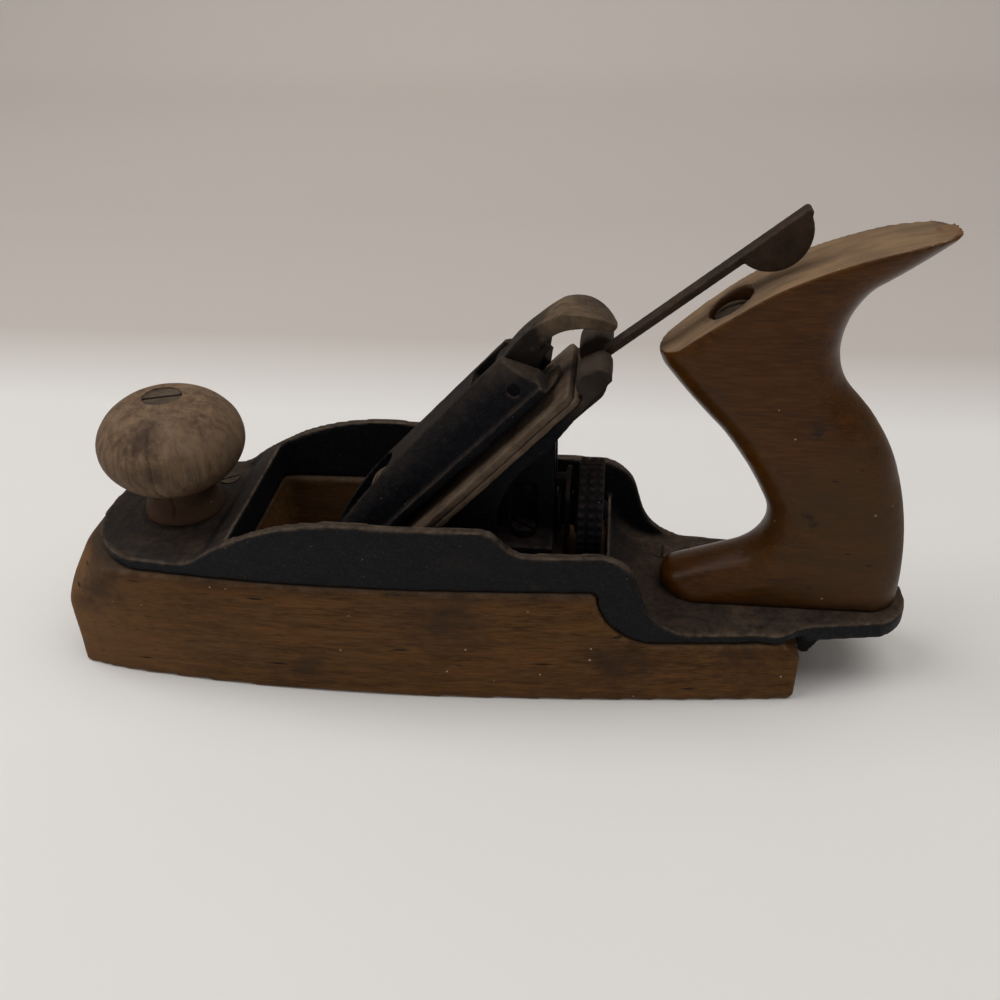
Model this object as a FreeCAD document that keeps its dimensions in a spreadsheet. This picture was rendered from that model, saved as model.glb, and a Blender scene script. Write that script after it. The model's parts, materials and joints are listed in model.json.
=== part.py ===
"""Handled smoothing plane with a beech stock, an iron top frame and a screw-adjusted cutter.

Frame: +X runs from the toe to the tote, +Z is up, and the origin is the centre of the sole.
Pieces that lie on the frog are drawn in bed coordinates: local X runs up the slope from the
sole, local Z stands off the bed, and one shared Placement leans them back to the pitch.
"""
import FreeCAD, Part
import math
import os

import Sketcher
from FreeCAD import Placement, Rotation, Vector

# ---------------------------------------------------------------- driving dimensions

SIZES = {
    # stock
    "stock_length": 228.6,
    "stock_height": 41.3,
    "toe_half_width": 25.4,
    "front_half_width": 30.2,
    "waist_half_width": 33.1,
    "rear_half_width": 31.6,
    "heel_half_width": 23.5,
    "step_height": 22.3,
    "step_radius": 19.2,
    "step_start": 52.7,
    "throat_half_width": 26.8,
    "throat_front_top": -55.8,
    "throat_front_sole": -54.4,
    "well_front": 42.5,
    "well_rear": 60.0,
    "well_half_width": 18.5,
    "well_floor": 33.4,
    # top frame
    "frame_inset": 1.0,
    "rail_wall": 3.3,
    "plate_thickness": 4.0,
    "frame_front": -105.5,
    "rib_height": 53.8,
    "rib_front": -58.4,
    "rib_rear": -55.6,
    "ramp_start": -66.5,
    "seat_rear": 39.4,
    "seat_thickness": 3.0,
    "rear_floor": 3.5,
    "rear_floor_start": 55.0,
    "platform_end": 147.1,
    "platform_half_width": 18.0,
    "lug_front": 115.4,
    "lug_rear": 129.0,
    "lug_bottom": 8.0,
    "lug_half_width": 9.0,
    # knob
    "knob_place": -79.9,
    "knob_radius": 22.3,
    "knob_half_height": 16.1,
    "knob_centre": 70.4,
    "knob_foot_radius": 12.5,
    "knob_neck_radius": 10.4,
    "knob_neck_height": 53.2,
    "boss_top": 46.2,
    "boss_radius": 15.2,
    "knob_screw_head": 5.7,
    "knob_screw_shank": 2.6,
    # tote
    "tote_thickness": 22.0,
    "tote_base": 25.8,
    "rod_radius": 2.5,
    "nut_radius": 5.6,
    "counterbore_radius": 6.4,
    "rod_top_x": 84.4,
    "rod_top_z": 120.9,
    "rod_foot_x": 126.0,
    "rod_foot_z": 24.0,
    # bed and irons, in bed coordinates
    "pitch": 46.0,
    "bed_at_sole": -47.4,
    "iron_end": 134.2,
    "iron_edge_half_width": 25.4,
    "iron_end_half_width": 17.5,
    "blade_thickness": 1.9,
    "cap_iron_thickness": 2.4,
    "bed_gap": 0.05,
    "slot_half_width": 5.6,
    "slot_start": 36.0,
    "slot_end": 124.0,
    "cap_screw_place": 44.0,
    "lever_screw_place": 66.0,
    # frog
    "frog_half_width": 16.6,
    "frog_plate": 5.2,
    "frog_foot": 4.0,
    "frog_post_half_width": 7.5,
    "frog_post_rear": 39.2,
    # adjuster
    "wheel_radius": 16.0,
    "wheel_front": 46.0,
    "wheel_rear": 53.6,
    "wheel_height": 51.7,
    "stud_radius": 3.0,
    "hub_radius": 7.5,
    "hub_front": 41.0,
    "groove_radius": 5.0,
    "yoke_pin_x": 31.0,
    "yoke_pin_z": 63.0,
    "yoke_pin_radius": 1.6,
    "lateral_pivot_place": 127.0,
    "lateral_roller_place": 116.5,
    "lateral_pivot_radius": 2.2,
    "lateral_roller_radius": 4.9,
    # lever cap and cam
    "cap_foot": 11.5,
    "cap_end": 129.5,
    "cap_foot_half_width": 24.0,
    "cap_body_half_width": 13.6,
    "cap_base_half_width": 15.2,
    "cap_crest": 21.6,
    "cam_slot_half_width": 4.5,
    "cam_pin_place": 122.5,
    "cam_pin_height": 13.6,
    "cam_pin_radius": 1.6,
    "cam_half_width": 4.1,
    "hook_half_width": 7.4,
}

doc = FreeCAD.newDocument("HandPlane")
sheet = doc.addObject("Spreadsheet::Sheet", "Sizes")
for row, (alias, value) in enumerate(SIZES.items(), start=1):
    sheet.set("A%d" % row, alias)
    sheet.set("B%d" % row, str(value))
    sheet.setAlias("B%d" % row, alias)
doc.recompute()

OUTSIDE = 60.0       # how far a cutting outline reaches past the piece
SCREW_HEAD = 3.6     # radius of the heads of the four frame screws
FRAME_SCREW_LENGTH = 12.0


def size(alias):
    """Value of one driving dimension."""
    return float(sheet.get(alias))


PITCH = math.radians(size("pitch"))
BED = Placement(Vector(size("bed_at_sole"), 0, 0), Rotation(Vector(0, 1, 0), -size("pitch")))


def bed_point(slope, off):
    """(x, z) of a point given in bed coordinates."""
    x = size("bed_at_sole") + slope * math.cos(PITCH) - off * math.sin(PITCH)
    z = slope * math.sin(PITCH) + off * math.cos(PITCH)
    return x, z


# ---------------------------------------------------------------- drawing helpers

ROLES = {"XY": "XY_Plane", "XZ": "XZ_Plane", "YZ": "YZ_Plane"}


def new_body(label, placement=None):
    body = doc.addObject("PartDesign::Body", label)
    body.Label = label
    if placement is not None:
        body.Placement = placement
    return body


def new_sketch(body, plane, name, offset=None):
    """Empty sketch on one of the body's own origin planes, moved along its normal by offset."""
    sketch = body.newObject("Sketcher::SketchObject", name)
    support = [f for f in body.Origin.OriginFeatures if f.Role == ROLES[plane]][0]
    sketch.AttachmentSupport = [(support, "")]
    sketch.MapMode = "FlatFace"
    if offset is not None:
        sketch.setExpression("AttachmentOffset.Base.z", offset)
    return sketch


def outline(sketch, points):
    """Closed outline; a point given as ("arc", through, end) is reached by an arc."""
    start = Vector(*points[0], 0)
    here = start
    for item in points[1:] + [points[0]]:
        if item[0] == "arc":
            through = Vector(*item[1], 0)
            end = Vector(*item[2], 0)
            sketch.addGeometry(Part.Arc(here, through, end), False)
        else:
            end = Vector(*item, 0)
            if end.distanceToPoint(here) < 1e-6:
                continue
            sketch.addGeometry(Part.LineSegment(here, end), False)
        here = end


def circle(sketch, x, y, radius_expression):
    index = sketch.addGeometry(Part.Circle(Vector(x, y, 0), Vector(0, 0, 1), 1.0), False)
    row = sketch.addConstraint(Sketcher.Constraint("Radius", index, 1.0))
    sketch.setExpression("Constraints[%d]" % row, radius_expression)


def pad(body, sketch, name, length, middle=False, reverse=False):
    feature = body.newObject("PartDesign::Pad", name)
    feature.Profile = sketch
    feature.Midplane = middle
    feature.Reversed = reverse
    feature.setExpression("Length", length)
    return feature


def pocket(body, sketch, name, length, middle=False, reverse=False):
    """Pocket that must take material away."""
    before = body.Shape.Volume
    feature = body.newObject("PartDesign::Pocket", name)
    feature.Profile = sketch
    feature.Midplane = middle
    feature.Reversed = reverse
    feature.setExpression("Length", length)
    doc.recompute()
    if not body.Shape.Volume < before - 1e-3:
        raise RuntimeError("pocket %s removes nothing" % name)
    return feature


def revolve(body, sketch, name, axis):
    feature = body.newObject("PartDesign::Revolution", name)
    feature.Profile = sketch
    feature.ReferenceAxis = (sketch, [axis])
    feature.Angle = 360.0
    return feature


def round_edges(body, name, radius, wanted, kind="PartDesign::Fillet"):
    """Fillet or chamfer on the edges of the body's tip that the test picks by their middle point."""
    doc.recompute()
    tip = body.Tip
    names = []
    for number, edge in enumerate(tip.Shape.Edges, start=1):
        middle = edge.valueAt((edge.FirstParameter + edge.LastParameter) / 2)
        if wanted(edge, middle):
            names.append("Edge%d" % number)
    if not names:
        raise RuntimeError("no edge found for %s" % name)
    feature = body.newObject(kind, name)
    feature.Base = (tip, names)
    feature.setExpression("Radius" if kind.endswith("Fillet") else "Size", radius)
    doc.recompute()
    if feature.Shape.isNull() or not feature.isValid():
        raise RuntimeError("rounding %s failed" % name)
    return feature


def mirrored_outline(half):
    """Closed outline from its +Y half, given toe to heel, by adding the -Y half."""
    other = []
    here = half[0]
    segments = []
    for item in half[1:]:
        if item[0] == "arc":
            segments.append((here, item[1], item[2]))
            here = item[2]
        else:
            segments.append((here, None, item))
            here = item
    for start, through, _ in reversed(segments):
        back = (start[0], -start[1])
        if through is None:
            other.append(back)
        else:
            other.append(("arc", (through[0], -through[1]), back))
    last = segments[-1][2]
    join = [] if abs(last[1]) < 1e-9 else [(last[0], -last[1])]
    return half + join + other


# ---------------------------------------------------------------- stock

HALF = size("stock_length") / 2
TOP = size("stock_height")


def side_outline(inset, front, rear):
    """+Y half of the coffin-shaped plan, drawn from the toe to the heel, moved in by inset."""
    return [
        (front, size("toe_half_width") - inset),
        ("arc", (-102.0, 28.2 - inset), (-85.0, size("front_half_width") - inset)),
        ("arc", (-30.0, size("waist_half_width") - inset), (20.0, size("rear_half_width") - inset)),
        ("arc", (72.0, 27.9 - inset), (rear, size("heel_half_width") - inset)),
    ]


def make_stock():
    body = new_body("stock")
    plan = new_sketch(body, "XY", "stock_plan")
    outline(plan, mirrored_outline(side_outline(0.0, -HALF, HALF)))
    pad(body, plan, "stock_block", "Sizes.stock_height")
    doc.recompute()

    step_r = size("step_radius")
    step_x = size("step_start")
    step_z = size("step_height")
    centre = (step_x + step_r, TOP)
    knee = (centre[0] - step_r * math.cos(math.pi / 4), centre[1] - step_r * math.sin(math.pi / 4))
    step = new_sketch(body, "XZ", "heel_step")
    outline(step, [
        (step_x, TOP + OUTSIDE),
        (step_x, TOP),
        ("arc", knee, (centre[0], TOP - step_r)),
        (centre[0], step_z),
        (HALF + OUTSIDE, step_z),
        (HALF + OUTSIDE, TOP + OUTSIDE),
    ])
    pocket(body, step, "heel_step_cut", "4 * Sizes.waist_half_width", middle=True)

    cot = 1 / math.tan(PITCH)
    bed = size("bed_at_sole") + 0.5
    throat = new_sketch(body, "XZ", "throat_side")
    outline(throat, [
        (size("throat_front_top"), TOP + 1),
        (size("throat_front_sole"), -1),
        (bed - cot, -1),
        (bed + (TOP + 1) * cot, TOP + 1),
    ])
    pocket(body, throat, "throat_cut", "2 * Sizes.throat_half_width", middle=True)

    well = new_sketch(body, "XY", "wheel_well_plan", "Sizes.well_floor")
    well_y = size("well_half_width")
    outline(well, [
        (size("well_front"), -well_y), (size("well_rear"), -well_y),
        (size("well_rear"), well_y), (size("well_front"), well_y)])
    pocket(body, well, "wheel_well", "Sizes.stock_height", reverse=True)

    groove = new_sketch(body, "XZ", "cap_screw_groove_side")
    low = bed_point(28.0, -1.0)
    outline(groove, [
        low, bed_point(33.0, -4.6), bed_point(66.0, -4.6), bed_point(66.0, 6.0), bed_point(28.0, 6.0)])
    pocket(body, groove, "cap_screw_groove", "17.0 mm", middle=True)

    bore = new_sketch(body, "XY", "knob_bore", "Sizes.stock_height")
    circle(bore, size("knob_place"), 0, "Sizes.knob_screw_shank + 0.1")
    pocket(body, bore, "knob_screw_bore", "22.0 mm")

    for number, (x, y, face) in enumerate(frame_screw_places(), start=1):
        hole = Placement(Vector(x, y, face - FRAME_SCREW_LENGTH - 0.5), Rotation())
        drill(body, "frame_screw_bore_%d" % number, "1.9 mm", "14 mm", hole)

    # toe end: rounded corners, then sloping shaves from the casting's nose down to mid height
    toe_y = size("toe_half_width")
    round_edges(body, "toe_corners", "3.0 mm",
                lambda e, m: abs(m.x + HALF) < 0.01 and abs(abs(m.y) - toe_y) < 0.01)
    shave(body, "toe_slope", Vector(-109.2, -20.0, TOP), Vector(-109.2, 20.0, TOP),
          Vector(-HALF, 0.0, 30.0))
    for number, side in enumerate((-1, 1), start=1):
        inner, outer = Vector(-109.2, 11.0 * side, TOP), Vector(-98.0, 26.2 * side, TOP)
        shave(body, "toe_corner_slope_%d" % number, inner, outer,
              Vector(-HALF, toe_y * side, 24.0))
    round_edges(body, "heel_round", "4.0 mm",
                lambda e, m: abs(m.x - HALF) < 0.01 and abs(m.z - step_z) < 0.01)
    round_edges(body, "heel_foot", "1.5 mm",
                lambda e, m: abs(m.x - HALF) < 0.01 and abs(m.z) < 0.01, "PartDesign::Chamfer")
    return body


# ---------------------------------------------------------------- top frame

def frame_outline(inset):
    """+Y half of the frame's plan: oval nose, coffin sides, narrow rounded platform."""
    nose = size("frame_front") + (inset - size("frame_inset"))
    end = size("platform_end") - (inset - size("frame_inset"))
    platform = size("platform_half_width") - (inset - size("frame_inset"))
    return [
        (nose, 0.0),
        ("arc", (nose + 3.9, 17.0 - (inset - 1)), (-88.0 + inset - 1, 29.6 - inset)),
        ("arc", (-30.0, size("waist_half_width") - inset), (20.0, size("rear_half_width") - inset)),
        ("arc", (60.0, 28.9 - inset), (96.0, 25.8 - inset)),
        ("arc", (107.0, 22.6 - inset), (117.0, platform + 0.9)),
        (end - 9.0, platform - 2.4),
        ("arc", (end - 2.4, 10.0), (end, 0.0)),
    ]



def rod_placement(start_off=0.0):
    """Placement at the foot of the tote rod, its Z along the rod towards the nut."""
    foot = Vector(size("rod_foot_x"), 0, size("rod_foot_z"))
    top = Vector(size("rod_top_x"), 0, size("rod_top_z"))
    axis = top.sub(foot).normalize()
    turn = Rotation(Vector(0, 0, 1), axis)
    return Placement(foot + axis * start_off, turn)


ROD_LENGTH = math.hypot(size("rod_top_x") - size("rod_foot_x"), size("rod_top_z") - size("rod_foot_z"))


def drill(body, name, radius, depth, placement):
    """Round hole along the placement's Z; radius and depth are sheet expressions."""
    before = body.Shape.Volume
    feature = body.newObject("PartDesign::SubtractiveCylinder", name)
    support = [f for f in body.Origin.OriginFeatures if f.Role == "XY_Plane"][0]
    feature.AttachmentSupport = [(support, "")]
    feature.MapMode = "FlatFace"
    feature.AttachmentOffset = placement
    feature.setExpression("Radius", radius)
    feature.setExpression("Height", depth)
    doc.recompute()
    if not body.Shape.Volume < before - 1e-3:
        raise RuntimeError("hole %s removes nothing" % name)
    return feature


def shave(body, name, first, second, low):
    """Cut away everything outside the slope through two top points and one lower point."""
    edge = second.sub(first).normalize()
    outward = edge.cross(low.sub(first)).normalize()
    if outward.x > 0:
        outward = outward.negative()
    reach = 120.0
    across = outward.cross(edge)
    corner = first - edge * (reach / 2) - across * (reach / 2)
    matrix = FreeCAD.Matrix(edge.x, across.x, outward.x, corner.x, edge.y, across.y, outward.y, corner.y,
                            edge.z, across.z, outward.z, corner.z, 0, 0, 0, 1)
    before = body.Shape.Volume
    feature = body.newObject("PartDesign::SubtractiveBox", name)
    support = [f for f in body.Origin.OriginFeatures if f.Role == "XY_Plane"][0]
    feature.AttachmentSupport = [(support, "")]
    feature.MapMode = "FlatFace"
    feature.AttachmentOffset = Placement(matrix)
    feature.Length = reach
    feature.Width = reach
    feature.Height = reach / 4
    doc.recompute()
    if not body.Shape.Volume < before - 1e-3:
        raise RuntimeError("slope %s removes nothing" % name)
    return feature


def countersink(body, name, low, high, depth, placement):
    """Conical seat for a screw head, from radius low up to radius high."""
    feature = body.newObject("PartDesign::SubtractiveCone", name)
    support = [f for f in body.Origin.OriginFeatures if f.Role == "XY_Plane"][0]
    feature.AttachmentSupport = [(support, "")]
    feature.MapMode = "FlatFace"
    feature.AttachmentOffset = placement
    feature.Radius1 = low
    feature.Radius2 = high
    feature.Height = depth
    doc.recompute()
    return feature


def frame_screw_places():
    """(x, y, z of the face) for the four screws that hold the casting down on the stock."""
    seat = TOP + size("seat_thickness")
    return [
        (-72.4, 18.8, TOP + size("plate_thickness")),
        (73.6, 15.9, size("tote_base")),
        (26.0, -22.4, seat),
        (26.0, 22.4, seat),
    ]


def rail_top():
    """Top line of the rails in side view, toe to tote, as outline items."""
    top = TOP + size("plate_thickness")
    return [
        (-OUTSIDE - HALF, 80.0),
        (-OUTSIDE - HALF, top),
        (-75.0, top),
        ("arc", (-69.5, 45.9), (-64.3, 48.9)),
        ("arc", (-42.0, 59.8), (-12.3, 62.9)),
        (19.0, 62.3),
        ("arc", (22.6, 61.2), (25.2, 58.4)),
        ("arc", (29.2, 55.0), (35.0, 53.6)),
        (50.0, 53.8),
        ("arc", (60.6, 50.6), (64.0, 45.4)),
        (66.7, 36.4),
        ("arc", (73.4, 28.4), (84.0, size("tote_base"))),
        (HALF + OUTSIDE, size("tote_base")),
        (HALF + OUTSIDE, 80.0),
    ]


def bed_line(z):
    """X just behind the bed at height z."""
    return size("bed_at_sole") + z / math.tan(PITCH) + 0.5


def make_top_frame():
    body = new_body("top_frame")
    top = TOP + size("plate_thickness")
    step_r = size("step_radius")
    centre = size("step_start") + step_r
    inner_r = step_r - size("rear_floor")
    platform_top = size("tote_base")
    start = size("rear_floor_start")
    start_z = TOP - math.sqrt(step_r ** 2 - (centre - start) ** 2)
    seat = TOP + size("seat_thickness")
    far = HALF + OUTSIDE
    half_turn = math.radians(40)
    under = 19.6

    # front plate with its ramped rib, frog seat, and the floor that follows the hollow of the stock
    floors = new_sketch(body, "XZ", "floor_sides")
    outline(floors, [
        (size("frame_front") - 5, TOP), (size("rib_rear"), TOP), (size("rib_rear"), size("rib_height")),
        (size("rib_front"), size("rib_height")), (size("ramp_start"), top),
        (size("frame_front") - 5, top)])
    outline(floors, [
        (bed_line(TOP), TOP), (size("seat_rear"), TOP),
        (size("seat_rear"), seat), (bed_line(seat), seat)])
    outline(floors, [
        (start, start_z),
        ("arc", (centre - step_r * math.sin(half_turn / 2), TOP - step_r * math.cos(half_turn / 2)),
         (centre, TOP - step_r)),
        (centre, size("step_height")),
        (HALF + 0.4, size("step_height")),
        (size("lug_front"), under),
        (far, under),
        (far, platform_top),
        (centre, platform_top),
        ("arc", (centre - inner_r * math.sin(half_turn), TOP - inner_r * math.cos(half_turn)),
         (centre - inner_r, TOP)),
        (start, TOP),
    ])
    pad(body, floors, "floors", "3 * Sizes.waist_half_width", middle=True)
    doc.recompute()

    inset = size("frame_inset")
    trim = new_sketch(body, "XY", "trim_plan")
    outline(trim, mirrored_outline(frame_outline(inset)))
    box = HALF + 2 * OUTSIDE
    outline(trim, [(-box, -box), (box, -box), (box, box), (-box, box)])
    pocket(body, trim, "trim_to_plan", "100.0 mm", reverse=True)

    # the rails run all the way round; their top line then drops them to the plate and platform
    rails = new_sketch(body, "XY", "rail_plan")
    outline(rails, mirrored_outline(frame_outline(inset)))
    outline(rails, mirrored_outline(frame_outline(inset + size("rail_wall"))))
    pad(body, rails, "rails", "72.0 mm")
    doc.recompute()

    above = new_sketch(body, "XZ", "above_rails")
    outline(above, rail_top())
    pocket(body, above, "rail_top_line", "4 * Sizes.waist_half_width", middle=True)

    below = new_sketch(body, "XZ", "below_casting")
    outline(below, [
        (-HALF - OUTSIDE, -5.0),
        (-HALF - OUTSIDE, TOP),
        (size("step_start"), TOP),
        ("arc", (centre - step_r * math.cos(math.pi / 4), TOP - step_r * math.sin(math.pi / 4)),
         (centre, TOP - step_r)),
        (centre, size("step_height")),
        (HALF + 0.4, size("step_height")),
        (size("lug_front"), under),
        (far, under),
        (far, -5.0),
    ])
    pocket(body, below, "underside", "4 * Sizes.waist_half_width", middle=True)

    lug = new_sketch(body, "XZ", "lug_side")
    outline(lug, [
        (size("lug_front"), under + 1), (size("lug_front"), size("lug_bottom") + 2),
        (size("lug_front") + 2, size("lug_bottom")), (size("lug_rear") - 9.4, size("lug_bottom")),
        (size("lug_rear") - 5.6, size("lug_bottom") + 5.6), (size("lug_rear"), size("lug_bottom") + 7.7),
        (size("lug_rear") + 5, under + 1)])
    pad(body, lug, "rear_lug", "2 * Sizes.lug_half_width", middle=True)
    doc.recompute()

    boss = new_sketch(body, "XY", "knob_boss_plan", "Sizes.stock_height + 1")
    circle(boss, size("knob_place"), 0, "Sizes.boss_radius")
    pad(body, boss, "knob_boss", "Sizes.boss_top - Sizes.stock_height - 1")
    doc.recompute()

    straight = Placement(Vector(size("knob_place"), 0, TOP - 5), Rotation())
    drill(body, "knob_screw_hole", "Sizes.knob_screw_shank + 0.1", "20 mm", straight)
    for number, (x, y, face) in enumerate(frame_screw_places(), start=1):
        seat_place = Placement(Vector(x, y, face - 2.2), Rotation())
        countersink(body, "frame_screw_seat_%d" % number, 1.9, SCREW_HEAD + 0.1, 2.2, seat_place)
        hole = Placement(Vector(x, y, face - 12), Rotation())
        drill(body, "frame_screw_hole_%d" % number, "1.9 mm", "13 mm", hole)
    foot = rod_placement(-22.0)
    drill(body, "rod_hole", "Sizes.rod_radius + 0.1", "34 mm", foot)
    for number, side in enumerate((-1, 1), start=1):
        x = frog_screw_place()[0]
        hole = Placement(Vector(x, 8.6 * side, TOP - 1), Rotation())
        drill(body, "frog_screw_tap_%d" % number, "1.6 mm", "8 mm", hole)
    return body


def frog_screw_place():
    """(x, z of the seat) of the screws in the foot of the frog."""
    return 30.0, TOP + size("seat_thickness") + size("frog_foot")


# ---------------------------------------------------------------- screws and rods

def screw(label, placement, head, shank, head_height, length, slot=1.2, dome=0.0, flush_cone=False):
    """Slotted screw: its Z axis points out of the head, and the seat is at local z = 0."""
    body = new_body(label, placement)
    side = new_sketch(body, "XZ", label + "_side")
    if flush_cone:
        points = [(0, -length), (shank, -length), (shank, -head_height), (head, 0), (0, 0)]
        top = 0.0
    elif dome:
        mid = (head * 0.72, head_height + dome * 0.48)
        points = [(0, -length), (shank, -length), (shank, 0), (head, 0), (head, head_height),
                  ("arc", mid, (0, head_height + dome))]
        top = head_height + dome
    else:
        points = [(0, -length), (shank, -length), (shank, 0), (head, 0), (head, head_height),
                  (0, head_height)]
        top = head_height
    outline(side, points)
    revolve(body, side, label + "_turned", "V_Axis")
    doc.recompute()
    cut = new_sketch(body, "XY", label + "_slot_plan")
    cut.AttachmentOffset = Placement(Vector(0, 0, top + 0.01), Rotation())
    wide = slot / 2
    outline(cut, [(-head - 1, -wide), (head + 1, -wide), (head + 1, wide), (-head - 1, wide)])
    pocket(body, cut, label + "_slot", "%f mm" % (0.28 * head))
    return body


def joined_copies(label, body, placements):
    """One sub-part of separate equal solids: the drawn screw placed at each given place."""
    doc.recompute()
    shape = body.Shape.copy()
    shape.Placement = Placement()
    group = doc.addObject("Part::Feature", label)
    group.Label = label
    copies = []
    for place in placements:
        one = shape.copy()
        one.Placement = place
        copies.append(one)
    group.Shape = Part.makeCompound(copies)
    return group


def make_frame_screws():
    model = screw("frame_screw_model", Placement(), SCREW_HEAD, 1.8, 2.1, FRAME_SCREW_LENGTH,
                  slot=0.9, flush_cone=True)
    places = []
    for number, (x, y, face) in enumerate(frame_screw_places()):
        turn = Rotation(Vector(0, 0, 1), 35 + 50 * number)
        places.append(Placement(Vector(x, y, face), turn))
    return joined_copies("frame_screws", model, places)


def make_frog_screws():
    model = screw("frog_screw_model", Placement(), 3.6, 1.55, 2.6, 6.8, slot=1.0)
    x, seat = frog_screw_place()
    places = []
    for side in (-1, 1):
        turn = Rotation(Vector(0, 0, 1), 20 + 55 * side)
        places.append(Placement(Vector(x, 8.6 * side, seat), turn))
    return joined_copies("frog_screws", model, places)


def make_knob_screw():
    top = size("knob_centre") + size("knob_half_height") - 1.1
    depth = top - 1.9 - (TOP - 20.0)
    place = Placement(Vector(size("knob_place"), 0, top - 1.9), Rotation(Vector(0, 0, 1), 20))
    return screw("knob_screw", place, size("knob_screw_head"), size("knob_screw_shank"), 1.9, depth,
                 slot=1.3)


def make_knob():
    body = new_body("knob", Placement(Vector(size("knob_place"), 0, 0), Rotation()))
    side = new_sketch(body, "XZ", "knob_side")
    centre = size("knob_centre")
    wide = size("knob_radius")
    tall = size("knob_half_height")
    neck = size("knob_neck_radius")
    top = centre + tall
    seat = top - 3.0
    hole = size("knob_screw_shank") + 0.15
    recess = size("knob_screw_head") + 0.15
    rim = centre + tall * math.sqrt(1 - (recess / wide) ** 2)

    def on_bulb(angle):
        a = math.radians(angle)
        return wide * math.cos(a), centre + tall * math.sin(a)

    low = on_bulb(-58)
    outline(side, [
        (hole, size("boss_top")),
        (size("knob_foot_radius"), size("boss_top")),
        ("arc", (size("knob_foot_radius") - 0.3, size("boss_top") + 2.2),
         (neck + 0.2, size("knob_neck_height") - 2.0)),
        ("arc", (neck + 0.1, size("knob_neck_height") + 1.6), low),
        ("arc", on_bulb(-40), on_bulb(-20)),
        ("arc", on_bulb(0), on_bulb(20)),
        ("arc", on_bulb(38), on_bulb(56)),
        ("arc", (0.62 * low[0], on_bulb(64)[1] + 0.15), (recess, rim)),
        (recess, seat),
        (hole, seat),
    ])
    revolve(body, side, "knob_turned", "V_Axis")
    return body


def make_tote():
    body = new_body("tote")
    base = size("tote_base")
    side = new_sketch(body, "XZ", "tote_side")
    outline(side, [
        (73.4, base),
        ("arc", (71.9, 29.8), (75.1, 34.3)),
        ("arc", (84.6, 37.6), (94.2, 41.1)),
        ("arc", (101.0, 47.6), (101.3, 58.2)),
        ("arc", (94.5, 70.6), (85.0, 83.5)),
        ("arc", (75.2, 94.0), (67.8, 103.0)),
        (66.9, 106.6),
        (71.6, 109.4),
        ("arc", (82.0, 118.0), (94.0, 126.4)),
        ("arc", (115.0, 135.4), (137.6, 140.6)),
        ("arc", (139.0, 139.2), (136.4, 136.8)),
        ("arc", (128.2, 130.4), (120.6, 125.2)),
        ("arc", (114.8, 110.4), (120.6, 95.3)),
        ("arc", (129.2, 85.4), (135.7, 74.1)),
        ("arc", (142.6, 50.6), (144.6, base)),
    ])
    pad(body, side, "tote_blank", "Sizes.tote_thickness", middle=True)
    doc.recompute()
    drill(body, "rod_bore", "Sizes.rod_radius + 0.15", "130 mm", rod_placement(-8.0))
    drill(body, "nut_sleeve_bore", "4.1 mm", "10 mm", rod_placement(ROD_LENGTH - 13.7))
    drill(body, "nut_counterbore", "Sizes.counterbore_radius", "30 mm", rod_placement(ROD_LENGTH - 7.0))
    return body


def make_tote_rod():
    body = new_body("tote_rod", rod_placement(-6.0))
    plan = new_sketch(body, "XY", "rod_plan")
    circle(plan, 0, 0, "Sizes.rod_radius")
    span = ("sqrt((Sizes.rod_top_x - Sizes.rod_foot_x)^2"
            " + (Sizes.rod_top_z - Sizes.rod_foot_z)^2)")
    pad(body, plan, "rod", span + " + 2")
    return body


def make_tote_nut():
    body = new_body("tote_nut", rod_placement(ROD_LENGTH - 7.0))
    side = new_sketch(body, "XZ", "nut_side")
    bore = size("rod_radius") + 0.05
    outline(side, [(bore, -6.5), (4.0, -6.5), (4.0, 0.0), (size("nut_radius"), 0.0),
                   (size("nut_radius"), 3.0), ("arc", (3.4, 4.4), (0.0, 4.9)), (0.0, 3.2), (bore, 3.2)])
    revolve(body, side, "nut_turned", "V_Axis")
    doc.recompute()
    cut = new_sketch(body, "XY", "nut_slot_plan")
    cut.AttachmentOffset = Placement(Vector(0, 0, 5.0), Rotation())
    outline(cut, [(-7, -0.8), (7, -0.8), (7, 0.8), (-7, 0.8)])
    pocket(body, cut, "nut_slot", "1.5 mm")
    return body


# ---------------------------------------------------------------- frog

def bed_local(x, z):
    """Bed coordinates of a point given in the part's own frame."""
    run = x - size("bed_at_sole")
    slope = run * math.cos(PITCH) + z * math.sin(PITCH)
    off = -run * math.sin(PITCH) + z * math.cos(PITCH)
    return slope, off


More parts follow.
